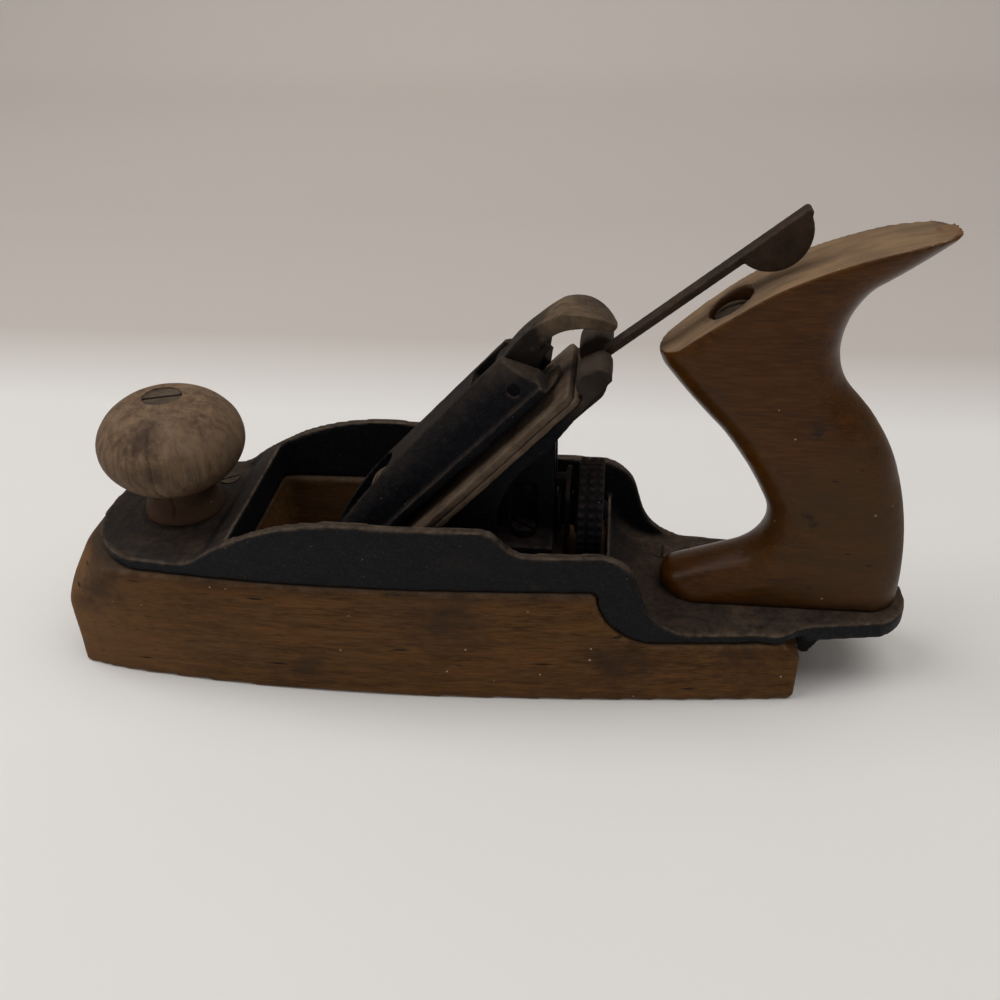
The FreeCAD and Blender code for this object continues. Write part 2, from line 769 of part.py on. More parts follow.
def make_frog():
    body = new_body("frog", BED)
    seat = TOP + size("seat_thickness")
    foot = seat + size("frog_foot")
    plate = size("frog_plate")
    rear = size("frog_post_rear")
    bed_low = seat / math.sin(PITCH)
    ears = size("iron_end") + 2.0

    side = new_sketch(body, "XZ", "frog_side")
    outline(side, [
        (bed_low, 0.0),
        (ears, 0.0),
        (ears, 3.4),
        ("arc", (139.0, 5.4), (142.6, 4.6)),
        ("arc", (146.4, 1.4), (144.2, -2.2)),
        (138.4, -plate),
        (116.0, -plate),
        ("arc", bed_local(26.0, 67.6), bed_local(22.6, 57.0)),
        bed_local(22.6, foot),
        bed_local(rear, foot),
        bed_local(rear, seat),
    ])
    pad(body, side, "frog_casting", "2 * Sizes.frog_half_width", middle=True)
    doc.recompute()

    hollow = new_sketch(body, "XZ", "frog_hollow_side")
    start_slope = (foot + plate * math.cos(PITCH)) / math.sin(PITCH)
    outline(hollow, [
        (start_slope, -plate), (118.0, -plate), bed_local(52.0, 80.0), bed_local(52.0, foot)])
    pocket(body, hollow, "frog_hollow", "2 * Sizes.frog_half_width - 6", middle=True)

    post = new_sketch(body, "XZ", "frog_post_side")
    post_top = (size("frog_post_rear") - size("bed_at_sole")) * math.tan(PITCH) - plate / math.cos(PITCH)
    outline(post, [
        (start_slope - 1.0, -plate + 1.0), bed_local(rear, post_top + 1.4), bed_local(rear, foot - 1.0),
        bed_local(6.0, foot - 1.0)])
    pad(body, post, "frog_post", "2 * Sizes.frog_post_half_width", middle=True)
    doc.recompute()

    slot = new_sketch(body, "XZ", "yoke_slot_side")
    outline(slot, [
        (92.5, 3.0), (107.0, 3.0), bed_local(34.0, 78.0), bed_local(46.0, 78.0),
        bed_local(46.0, 57.2), bed_local(24.0, 57.2)])
    pocket(body, slot, "yoke_slot", "5.4 mm", middle=True)

    channel = new_sketch(body, "XY", "lateral_channel_plan", "6 mm")
    outline(channel, [(110.0, -5.8), (133.0, -5.8), (137.0, -4.4), (160.0, -4.4),
                      (160.0, 4.4), (137.0, 4.4), (133.0, 5.8), (110.0, 5.8)])
    pocket(body, channel, "lateral_channel", "8.1 mm")

    def local(slope, y, off):
        return Placement(Vector(slope, y, off), Rotation())

    drill(body, "lateral_pivot_hole", "Sizes.lateral_pivot_radius + 0.02", "6 mm",
          local(size("lateral_pivot_place"), 0, -plate - 0.2))
    drill(body, "lever_screw_tap", "2.45 mm", "40 mm", local(size("lever_screw_place"), 0, -12))
    upright = Rotation(Vector(0, 1, 0), size("pitch"))
    x, face = frog_screw_place()
    for number, wide in enumerate((-8.6, 8.6), start=1):
        s, n = bed_local(x, seat - 1)
        drill(body, "foot_hole_%d" % number, "1.75 mm", "16 mm", Placement(Vector(s, wide, n), upright))
        s, n = bed_local(x, face)
        drill(body, "head_room_%d" % number, "4.0 mm", "16 mm", Placement(Vector(s, wide, n), upright))
    s, n = bed_local(24.0, size("wheel_height"))
    along = Rotation(Vector(0, 1, 0), 90 + size("pitch"))
    drill(body, "stud_hole", "Sizes.stud_radius - 0.5 + 0.02", "20 mm", Placement(Vector(s, 0, n), along))
    s, n = bed_local(size("yoke_pin_x"), size("yoke_pin_z"))
    across = Rotation(Vector(1, 0, 0), 90)
    drill(body, "yoke_pin_hole", "Sizes.yoke_pin_radius + 0.02", "24 mm",
          Placement(Vector(s, 12.0, n), across))
    return body


# ---------------------------------------------------------------- irons

def iron_half_width(slope):
    run = (slope + 1.0) / (size("iron_end") + 1.0)
    return size("iron_edge_half_width") + run * (size("iron_end_half_width") - size("iron_edge_half_width"))


def trim_iron(body, name, end):
    """Removes everything outside the tapered plan."""
    plan = new_sketch(body, "XY", name + "_plan", "20 mm")
    low = -20.0
    outline(plan, [
        (low, -iron_half_width(low)), (end - 1.5, -iron_half_width(end)),
        (end, -iron_half_width(end) + 1.5), (end, iron_half_width(end) - 1.5),
        (end - 1.5, iron_half_width(end)), (low, iron_half_width(low))])
    outline(plan, [(-40, -60), (180, -60), (180, 60), (-40, 60)])
    pocket(body, plan, name + "_taper", "40 mm")


def slot_plan(sketch, start, end, half):
    """Slot with round ends."""
    outline(sketch, [
        (start + half, -half), (end - half, -half), ("arc", (end, 0), (end - half, half)),
        (start + half, half), ("arc", (start, 0), (start + half, -half))])


def make_plane_iron():
    body = new_body("plane_iron", BED)
    low = size("bed_gap")
    high = low + size("blade_thickness")
    bevel = size("blade_thickness") / math.tan(math.radians(29))
    edge = -1.25
    side = new_sketch(body, "XZ", "iron_side")
    outline(side, [(edge, high), (edge + bevel, low), (size("iron_end") + 1.0, low),
                   (size("iron_end") + 1.0, high)])
    pad(body, side, "iron_bar", "60 mm", middle=True)
    doc.recompute()
    trim_iron(body, "iron", size("iron_end") + 1.0)
    slot = new_sketch(body, "XY", "iron_slot_plan", "10 mm")
    slot_plan(slot, size("slot_start"), size("slot_end"), size("slot_half_width"))
    pocket(body, slot, "iron_slot", "20 mm")
    return body


def make_cap_iron():
    body = new_body("cap_iron", BED)
    low = size("bed_gap") + size("blade_thickness") + 0.02
    high = low + size("cap_iron_thickness")
    end = size("iron_end")
    side = new_sketch(body, "XZ", "cap_iron_side")
    outline(side, [
        (1.4, low),
        (4.4, low + 1.3),
        ("arc", (9.4, low + 2.1), (16.0, low + 0.7)),
        (22.0, low),
        (end, low),
        (end, high),
        (23.0, high),
        (17.0, high + 0.8),
        ("arc", (9.6, high + 2.3), (3.2, high + 1.0)),
        ("arc", (1.6, high - 0.6), (0.9, low + 0.5)),
    ])
    pad(body, side, "cap_iron_bar", "60 mm", middle=True)
    doc.recompute()
    trim_iron(body, "cap_iron", end)
    slots = new_sketch(body, "XY", "cap_iron_slot_plan", "20 mm")
    slot_plan(slots, size("lever_screw_place") - 6.5, size("lever_screw_place") + 6.5, 3.4)
    outline(slots, [(98.2, -2.7), (101.8, -2.7), (101.8, 2.7), (98.2, 2.7)])
    pocket(body, slots, "cap_iron_slots", "30 mm")
    hole = Placement(Vector(size("cap_screw_place"), 0, -1), Rotation())
    drill(body, "cap_screw_hole", "3.45 mm", "12 mm", hole)
    return body


def make_cap_iron_screw():
    """Broad-headed screw that clamps the two irons; its head is below the blade."""
    turn = Rotation(Vector(1, 0, 0), 180)
    place = BED.multiply(Placement(Vector(size("cap_screw_place"), 0, size("bed_gap") - 0.02), turn))
    return screw("cap_iron_screw", place, 7.4, 3.4, 2.9, 4.8, slot=1.8)


# ---------------------------------------------------------------- lever cap

def make_lever_cap():
    body = new_body("lever_cap", BED)
    foot = size("cap_foot")
    end = size("cap_end")
    under = 7.4
    crest = size("cap_crest")
    side = new_sketch(body, "XZ", "lever_cap_side")
    outline(side, [
        (foot + 1.0, 6.9),
        (20.0, under),
        (end, under),
        (end, 11.0),
        (124.6, crest),
        (70.0, crest - 0.8),
        ("arc", (49.0, 18.4), (30.0, 13.2)),
        ("arc", (19.0, 10.2), (foot, 8.1)),
    ])
    pad(body, side, "lever_cap_block", "2 * Sizes.cap_foot_half_width", middle=True)
    doc.recompute()

    # bell-shaped plan: broad foot, rounded shoulders, narrow body
    wide = size("cap_foot_half_width")
    slim = size("cap_base_half_width")
    plan = new_sketch(body, "XY", "lever_cap_plan", "30 mm")
    outline(plan, mirrored_outline([
        (-10.0, wide - 1.0), (44.0, wide - 1.0), ("arc", (54.0, wide - 3.0), (60.0, slim + 2.0)),
        ("arc", (64.0, slim + 0.4), (70.0, slim)), (end + 20, slim)]))
    outline(plan, [(-40, -60), (180, -60), (180, 60), (-40, 60)])
    pocket(body, plan, "bell_outline", "40 mm")

    # sloping sides of the raised body, above the thin base
    cheeks = new_sketch(body, "YZ", "cheek_section", "-10 mm")
    body_y = size("cap_body_half_width")
    for side_sign in (-1, 1):
        outline(cheeks, [
            (side_sign * 4.6, crest + 5.0),
            (side_sign * 4.6, crest + 0.6),
            ("arc", (side_sign * 9.6, crest - 2.6), (side_sign * (body_y - 0.6), crest - 9.0)),
            (side_sign * body_y, 10.2),
            (side_sign * (wide + 5), 9.6),
            (side_sign * (wide + 5), crest + 5.0),
        ])
    pocket(body, cheeks, "cheek_slopes", "160 mm", reverse=True)

    recess = new_sketch(body, "XY", "screw_recess_plan", "15.2 mm")
    outline(recess, [(10.0, -7.4), (66.0, -7.4), ("arc", (73.4, 0.0), (66.0, 7.4)), (10.0, 7.4)])
    pocket(body, recess, "screw_recess", "20 mm", reverse=True)
    keyhole = new_sketch(body, "XY", "keyhole_plan", "20 mm")
    place = size("lever_screw_place")
    reach = math.sqrt(6.9 ** 2 - 2.9 ** 2)
    outline(keyhole, [
        (place, -2.9), ("arc", (place + 2.9, 0), (place, 2.9)), (47.0 + reach, 2.9),
        ("arc", (47.0 - 6.9, 0), (47.0 + reach, -2.9))])
    pocket(body, keyhole, "keyhole", "20 mm")

    cam_slot = new_sketch(body, "XY", "cam_slot_plan", "30 mm")
    gap = size("cam_slot_half_width")
    outline(cam_slot, [(111.0, -gap), (end + 5, -gap), (end + 5, gap), (111.0, gap)])
    pocket(body, cam_slot, "cam_slot", "30 mm")
    rivet_room = Placement(Vector(104.0, 0, 0), Rotation())
    drill(body, "rivet_hole", "1.62 mm", "10.4 mm", rivet_room)
    across = Placement(Vector(size("cam_pin_place"), 20.0, size("cam_pin_height")),
                       Rotation(Vector(1, 0, 0), 90))
    drill(body, "cam_pin_hole", "Sizes.cam_pin_radius + 0.02", "40 mm", across)
    return body


def make_lever_cap_screw():
    turn = Rotation(Vector(0, 0, 1), 62)
    place = BED.multiply(Placement(Vector(size("lever_screw_place"), 0, 15.3), turn))
    return screw("lever_cap_screw", place, 6.3, 2.4, 2.0, 17.0, slot=1.4, dome=2.8)


def make_lever_cap_spring():
    body = new_body("lever_cap_spring", BED)
    plan = new_sketch(body, "XY", "spring_plan", "Sizes.cam_pin_height - 8")
    outline(plan, [(97.0, -8.0), (126.0, -8.0), ("arc", (131.5, 0.0), (126.0, 8.0)), (97.0, 8.0)])
    pad(body, plan, "spring_leaf", "0.9 mm")
    doc.recompute()
    hole = Placement(Vector(104.0, 0, 4.0), Rotation())
    drill(body, "spring_rivet_hole", "1.62 mm", "5 mm", hole)
    packing = new_sketch(body, "XY", "packing_plan", "6.5 mm")
    outline(packing, [(98.0, -7.0), (109.0, -7.0), (109.0, 7.0), (98.0, 7.0)])
    circle(packing, 104.0, 0.0, "1.62 mm")
    pad(body, packing, "spring_seat", "0.88 mm")
    return body


def make_spring_rivet():
    body = new_body("spring_rivet", BED.multiply(Placement(Vector(104.0, 0, 0), Rotation())))
    side = new_sketch(body, "XZ", "rivet_side")
    outline(side, [(0, 4.95), (2.6, 4.95), (2.6, 5.55), (1.6, 5.55), (1.6, 10.0), (0, 10.0)])
    revolve(body, side, "rivet_turned", "V_Axis")
    return body


def make_cam_lever():
    """Hooked lever; its round cam bears on the leaf spring under the lever cap."""
    body = new_body("cam_lever")
    px, pz = bed_point(size("cam_pin_place"), size("cam_pin_height"))
    cam_r = 7.0
    down = math.radians(-44)
    root = new_sketch(body, "XZ", "cam_root_side")
    low = (px + cam_r * math.cos(down), pz + cam_r * math.sin(down))
    outline(root, [
        (px - 5.0, pz + 4.9),
        ("arc", (px - 4.0, pz - 5.74), low),
        ("arc", (px + 6.2, pz + 3.4), (px + 9.4, pz + 9.2)),
        (px + 3.6, pz + 12.6),
    ])
    pad(body, root, "cam_root", "2 * Sizes.cam_half_width", middle=True)
    doc.recompute()
    hook = new_sketch(body, "XZ", "hook_side")
    outline(hook, [
        (px - 3.2, pz + 6.6),
        ("arc", (px + 4.6, pz + 15.2), (px + 12.6, pz + 20.2)),
        ("arc", (px + 20.6, pz + 19.8), (px + 26.9, pz + 15.6)),
        ("arc", (px + 27.3, pz + 14.5), (px + 26.0, pz + 14.2)),
        ("arc", (px + 16.0, pz + 16.2), (px + 7.0, pz + 9.8)),
        (px + 3.2, pz + 4.6),
        (px - 1.8, pz + 5.2),
    ])
    pad(body, hook, "hook", "2 * Sizes.hook_half_width", middle=True)
    doc.recompute()
    # plan of the lever: slim neck between the cheeks, broad rounded thumb piece
    plan = new_sketch(body, "XY", "hook_plan", "140 mm")
    half = size("cam_half_width")
    wide = size("hook_half_width")
    outline(plan, mirrored_outline([
        (px - 30.0, half), (px + 5.5, half), ("arc", (px + 9.5, wide - 1.8), (px + 16.0, wide)),
        ("arc", (px + 23.0, wide - 1.2), (px + 27.6, 0.0))]))
    outline(plan, [(px - 60, -60), (px + 90, -60), (px + 90, 60), (px - 60, 60)])
    pocket(body, plan, "hook_outline", "100 mm")
    across = Placement(Vector(px, 20.0, pz), Rotation(Vector(1, 0, 0), 90))
    drill(body, "pin_bore", "Sizes.cam_pin_radius + 0.05", "40 mm", across)
    return body


def round_pin(label, placement, radius, length):
    """Plain pin along its Placement's Z."""
    body = new_body(label, placement)
    plan = new_sketch(body, "XY", label + "_plan")
    circle(plan, 0, 0, radius)
    pad(body, plan, label + "_bar", length)
    return body


def make_cam_pin():
    y = 12.2
    place = BED.multiply(Placement(Vector(size("cam_pin_place"), y, size("cam_pin_height")),
                                   Rotation(Vector(1, 0, 0), 90)))
    return round_pin("cam_pin", place, "Sizes.cam_pin_radius", "24.4 mm")


# ---------------------------------------------------------------- adjusters

def make_depth_wheel():
    body = new_body("depth_wheel", Placement(Vector(0, 0, size("wheel_height")),
                                             Rotation(Vector(0, 1, 0), 90)))
    side = new_sketch(body, "XZ", "wheel_side")
    bore = size("stud_radius") + 0.05
    rim = size("wheel_radius")
    front = size("wheel_front")
    rear = size("wheel_rear")
    hub = size("hub_radius")
    waist = size("groove_radius")
    groove = rim - 0.9
    outline(side, [
        (bore, size("hub_front") - 1.2), (hub, size("hub_front") - 1.2), (hub, size("hub_front")),
        (waist, size("hub_front")), (waist, front - 0.9), (hub, front - 0.9), (hub, front),
        (rim - 0.6, front), (rim, front + 0.6), (rim, front + 2.1), (groove, front + 2.5),
        (groove, front + 3.0), (rim, front + 3.4), (rim, front + 5.0), (groove, front + 5.4),
        (groove, front + 5.8), (rim, front + 6.1), (rim, rear - 0.6), (rim - 0.6, rear),
        (rim - 3.0, rear), (rim - 4.0, rear - 1.2), (hub, rear - 1.2), (hub - 0.6, rear), (bore, rear),
    ])
    revolve(body, side, "wheel_turned", "V_Axis")
    doc.recompute()
    notch = new_sketch(body, "XY", "rim_notch_plan", "Sizes.wheel_front - 1")
    circle(notch, rim + 0.25, 0, "0.85 mm")
    cut = pocket(body, notch, "rim_notch", "20 mm", reverse=True)
    ring = body.newObject("PartDesign::PolarPattern", "rim_notches")
    ring.Originals = [cut]
    ring.Axis = (side, ["V_Axis"])
    ring.Angle = 360
    ring.Occurrences = 36
    body.Tip = ring
    return body


def make_depth_stud():
    body = new_body("depth_stud", Placement(Vector(0, 0, size("wheel_height")),
                                            Rotation(Vector(0, 1, 0), 90)))
    side = new_sketch(body, "XZ", "stud_side")
    radius = size("stud_radius")
    rear = size("frog_post_rear")
    outline(side, [(0, 26.0), (radius - 0.5, 26.0), (radius - 0.5, rear), (radius, rear),
                   (radius, size("wheel_rear") + 0.6), (radius - 1, size("wheel_rear") + 1.4),
                   (0, size("wheel_rear") + 1.4)])
    revolve(body, side, "stud_turned", "V_Axis")
    return body


def make_yoke():
    """Y-shaped lever: finger into the cap iron, pivot in the frog, fork round the wheel's hub."""
    body = new_body("yoke")
    px = size("yoke_pin_x")
    pz = size("yoke_pin_z")
    tip = bed_point(100.0, 4.0)
    side = new_sketch(body, "XZ", "yoke_side")
    outline(side, [
        bed_point(98.9, -3.0),
        bed_point(98.9, 3.4),
        ("arc", tip, bed_point(101.1, 3.4)),
        bed_point(101.1, -3.0),
        (px + 1.4, pz + 4.2),
        ("arc", (px + 3.9, pz + 2.2), (px + 5.2, pz + 0.8)),
        (43.8, pz + 0.8),
        (43.8, pz - 2.6),
        (px + 3.6, pz - 2.6),
        ("arc", (px - 0.6, pz - 4.3), (px - 3.8, pz - 2.0)),
    ])
    pad(body, side, "yoke_web", "4.0 mm", middle=True)
    doc.recompute()
    fork = new_sketch(body, "YZ", "fork_front", "42.15 mm")
    inner = size("groove_radius") + 0.35
    axis = size("wheel_height")
    outline(fork, [
        (-9.0, 47.4), (-inner, 47.4), (-inner, axis + 1), ("arc", (0, axis + 1 + inner), (inner, axis + 1)),
        (inner, 47.4), (9.0, 47.4), (9.0, 58.5), ("arc", (7.6, 62.4), (3.0, 63.8)),
        (-3.0, 63.8), ("arc", (-7.6, 62.4), (-9.0, 58.5))])
    pad(body, fork, "yoke_fork", "1.6 mm")
    doc.recompute()
    across = Placement(Vector(px, 10.0, pz), Rotation(Vector(1, 0, 0), 90))
    drill(body, "yoke_bore", "Sizes.yoke_pin_radius + 0.05", "20 mm", across)
    return body


def make_yoke_pin():
    place = Placement(Vector(size("yoke_pin_x"), 7.5, size("yoke_pin_z")), Rotation(Vector(1, 0, 0), 90))
    return round_pin("yoke_pin", place, "Sizes.yoke_pin_radius", "15 mm")


def make_lateral_lever():
    body = new_body("lateral_lever", BED)
    low = -1.9
    lean = math.radians(-6.8)
    along = Vector(math.cos(lean), math.sin(lean), 0)
    normal = Vector(-math.sin(lean), math.cos(lean), 0)
    bend = Vector(144.0, 0.9, 0)
    half = 1.1
    reach = 63.6

    foot = new_sketch(body, "XY", "lever_foot_plan", "-1.9 mm")
    roller = size("lateral_roller_place")
    outline(foot, [
        (roller, -3.9), (130.0, -3.2), (134.0, -2.5), (136.0, -2.5), (136.0, 2.5), (134.0, 2.5),
        (130.0, 3.2), (roller, 3.9), ("arc", (roller - 3.9, 0), (roller, -3.9))])
    pad(body, foot, "lever_foot", "1.75 mm")
    doc.recompute()

    def on_strip(run, off):
        point = bend + along * run + normal * off
        return point.x, point.y

    arm = new_sketch(body, "XZ", "lever_arm_side")
    tip = on_strip(reach + 1.2, 0.0)
    outline(arm, [
        (133.0, low), (137.2, low), ("arc", (140.6, -1.2), on_strip(0.0, -half)),
        on_strip(reach, -half), ("arc", tip, on_strip(reach, half)), on_strip(0.0, half),
        ("arc", (139.6, 1.0), (136.6, -0.15)), (133.0, -0.15)])
    pad(body, arm, "lever_arm", "5.0 mm", middle=True)
    doc.recompute()

    # thumb piece: a half disc folded down from the near edge of the strip
    tab = new_sketch(body, "XZ", "thumb_side", "0.9 mm")
    outline(tab, [on_strip(44.0, -0.6), ("arc", on_strip(55.5, -8.9), on_strip(64.0, -0.6))])
    pad(body, tab, "thumb_piece", "1.6 mm")
    doc.recompute()
    for name, place, radius in (
            ("pivot_bore", size("lateral_pivot_place"), "Sizes.lateral_pivot_radius + 0.05"),
            ("roller_rivet_bore", roller, "1.6 mm")):
        drill(body, name, radius, "6 mm", Placement(Vector(place, 0, -4.0), Rotation()))
    return body


def make_lateral_pivot():
    place = BED.multiply(Placement(Vector(size("lateral_pivot_place"), 0, -size("frog_plate")),
                                   Rotation()))
    return round_pin("lateral_pivot", place, "Sizes.lateral_pivot_radius", "Sizes.frog_plate - 0.1")


def make_lateral_roller():
    """Disc on its own rivet, riding in the slot of the blade."""
    place = BED.multiply(Placement(Vector(size("lateral_roller_place"), 0, 0), Rotation()))
    body = new_body("lateral_roller", place)
    side = new_sketch(body, "XZ", "roller_side")
    radius = size("lateral_roller_radius")
    outline(side, [(0, -1.9), (1.58, -1.9), (1.58, -0.12), (radius, -0.12), (radius, 1.5),
                   (radius - 0.4, 1.8), (0, 1.8)])
    revolve(body, side, "roller_turned", "V_Axis")
    return body


# ---------------------------------------------------------------- make, check and write

MAKERS = [
    make_stock, make_top_frame, make_frame_screws, make_knob, make_knob_screw, make_tote,
    make_tote_rod, make_tote_nut, make_frog, make_frog_screws, make_plane_iron, make_cap_iron,
    make_cap_iron_screw, make_lever_cap, make_lever_cap_screw, make_lever_cap_spring,
    make_spring_rivet, make_cam_lever, make_cam_pin, make_depth_wheel, make_depth_stud,
    make_yoke, make_yoke_pin, make_lateral_lever, make_lateral_pivot, make_lateral_roller,
]


def check_document():
    doc.recompute()
    for item in doc.Objects:
        if "Invalid" in item.State or "Error" in item.State:
            raise RuntimeError("%s has failed: %s" % (item.Label, item.State))


def write_parts(pieces):
    os.makedirs("parts", exist_ok=True)
    for piece in pieces:
        shape = piece.Shape
        if shape.isNull() or not shape.isValid():
            raise RuntimeError("%s has no valid shape" % piece.Label)
        shape.exportStep("parts/%s.step" % piece.Label)
        print("%-18s %10.1f mm3  %d solid(s)" % (piece.Label, shape.Volume, len(shape.Solids)))


pieces = [make() for make in MAKERS]
check_document()
write_parts(pieces)
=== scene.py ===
"""Hand plane: worn beech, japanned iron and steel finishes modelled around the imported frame."""
import json
import math

import bpy
import numpy as np
from bpy.props import FloatProperty, FloatVectorProperty, PointerProperty
from mathutils import Matrix, Vector, noise


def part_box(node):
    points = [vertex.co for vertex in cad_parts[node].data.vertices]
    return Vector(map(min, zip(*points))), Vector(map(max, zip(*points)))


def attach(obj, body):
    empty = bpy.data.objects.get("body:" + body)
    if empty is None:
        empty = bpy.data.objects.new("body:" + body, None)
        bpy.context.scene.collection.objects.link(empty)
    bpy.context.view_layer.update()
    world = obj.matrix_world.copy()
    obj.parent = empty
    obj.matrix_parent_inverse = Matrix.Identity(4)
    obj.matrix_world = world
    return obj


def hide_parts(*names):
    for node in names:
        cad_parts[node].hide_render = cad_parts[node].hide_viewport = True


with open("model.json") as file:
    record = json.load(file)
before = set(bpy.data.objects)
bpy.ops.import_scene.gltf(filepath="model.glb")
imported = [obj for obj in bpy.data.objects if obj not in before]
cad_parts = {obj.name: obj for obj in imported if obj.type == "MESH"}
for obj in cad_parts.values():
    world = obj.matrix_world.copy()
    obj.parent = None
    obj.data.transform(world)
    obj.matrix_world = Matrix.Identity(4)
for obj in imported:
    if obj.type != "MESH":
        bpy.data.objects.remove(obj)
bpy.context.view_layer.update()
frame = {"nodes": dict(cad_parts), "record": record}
MM = 0.001

bl_info = {
    "name": "Hand Plane",
    "version": (1, 0, 0),
    "blender": (4, 5, 0),
    "location": "3D View > Sidebar > Hand Plane",
    "description": "Models the wooden and iron pieces of a smoothing plane with a wooden stock",
    "category": "Object",
}


# ---------------------------------------------------------------- sizes and colours

def length(name, description, default):
    return FloatProperty(name=name, description=description, default=default, min=0.0,
                         unit="LENGTH", precision=5)


def colour(name, description, default):
    return FloatVectorProperty(name=name, description=description, default=default,
                               subtype="COLOR", size=3, min=0.0, max=1.0)


class HandPlaneSizes(bpy.types.PropertyGroup):
    stock_grain: length("Stock mesh", "Mesh size on the stock", 0.9 * MM)
    casting_grain: length("Casting mesh", "Mesh size on the top frame", 0.85 * MM)
    iron_grain: length("Iron mesh", "Mesh size on the middle-sized iron pieces", 0.5 * MM)
    screw_grain: length("Screw mesh", "Mesh size on screws, pins and levers", 0.28 * MM)
    knob_grain: length("Knob mesh", "Mesh size on the knob", 0.42 * MM)
    tote_grain: length("Tote mesh", "Mesh size on the tote", 0.7 * MM)
    tote_round: length("Tote rounding", "How far the grip's rounding reaches in", 10.6 * MM)
    crack_depth: length("Crack depth", "Depth of the drying crack in the knob", 0.75 * MM)
    crack_width: length("Crack width", "Half-width of the drying crack", 0.55 * MM)
    wood_dents: length("Wood dents", "Depth of dents in the wood", 0.30 * MM)
    casting_dents: length("Casting dents", "Depth of the casting's unevenness", 0.22 * MM)


class HandPlaneColours(bpy.types.PropertyGroup):
    stock: colour("Stock", "Worn beech of the stock", (0.120, 0.051, 0.015))
    stock_dark: colour("Stock grain", "Dark grain and stains of the stock", (0.046, 0.021, 0.007))
    knob: colour("Knob", "Bare grey-brown beech of the knob", (0.200, 0.128, 0.076))
    tote: colour("Tote", "Varnished beech of the tote", (0.076, 0.024, 0.0012))
    tote_bare: colour("Bare tote", "Tote wood that has lost its varnish", (0.240, 0.150, 0.080))
    japan: colour("Japanning", "Black baked finish of the castings", (0.0035, 0.0042, 0.0060))
    dust: colour("Dust", "Dry dust and light rust", (0.092, 0.060, 0.038))
    rust: colour("Rust", "Brown rusted iron", (0.070, 0.040, 0.024))
    steel: colour("Steel", "Dull brown-grey steel of the irons", (0.122, 0.086, 0.058))
    floor: colour("Floor", "Pale paper floor", (0.86, 0.85, 0.83))
    # The wall colour is the floor's paper darkened as painted shade, where less light reaches the back.
    wall: colour("Wall", "Greyer paper behind", (0.590, 0.545, 0.510))


def sizes():
    return bpy.context.scene.hand_plane_sizes


def colours():
    return bpy.context.scene.hand_plane_colours


# ---------------------------------------------------------------- finishes

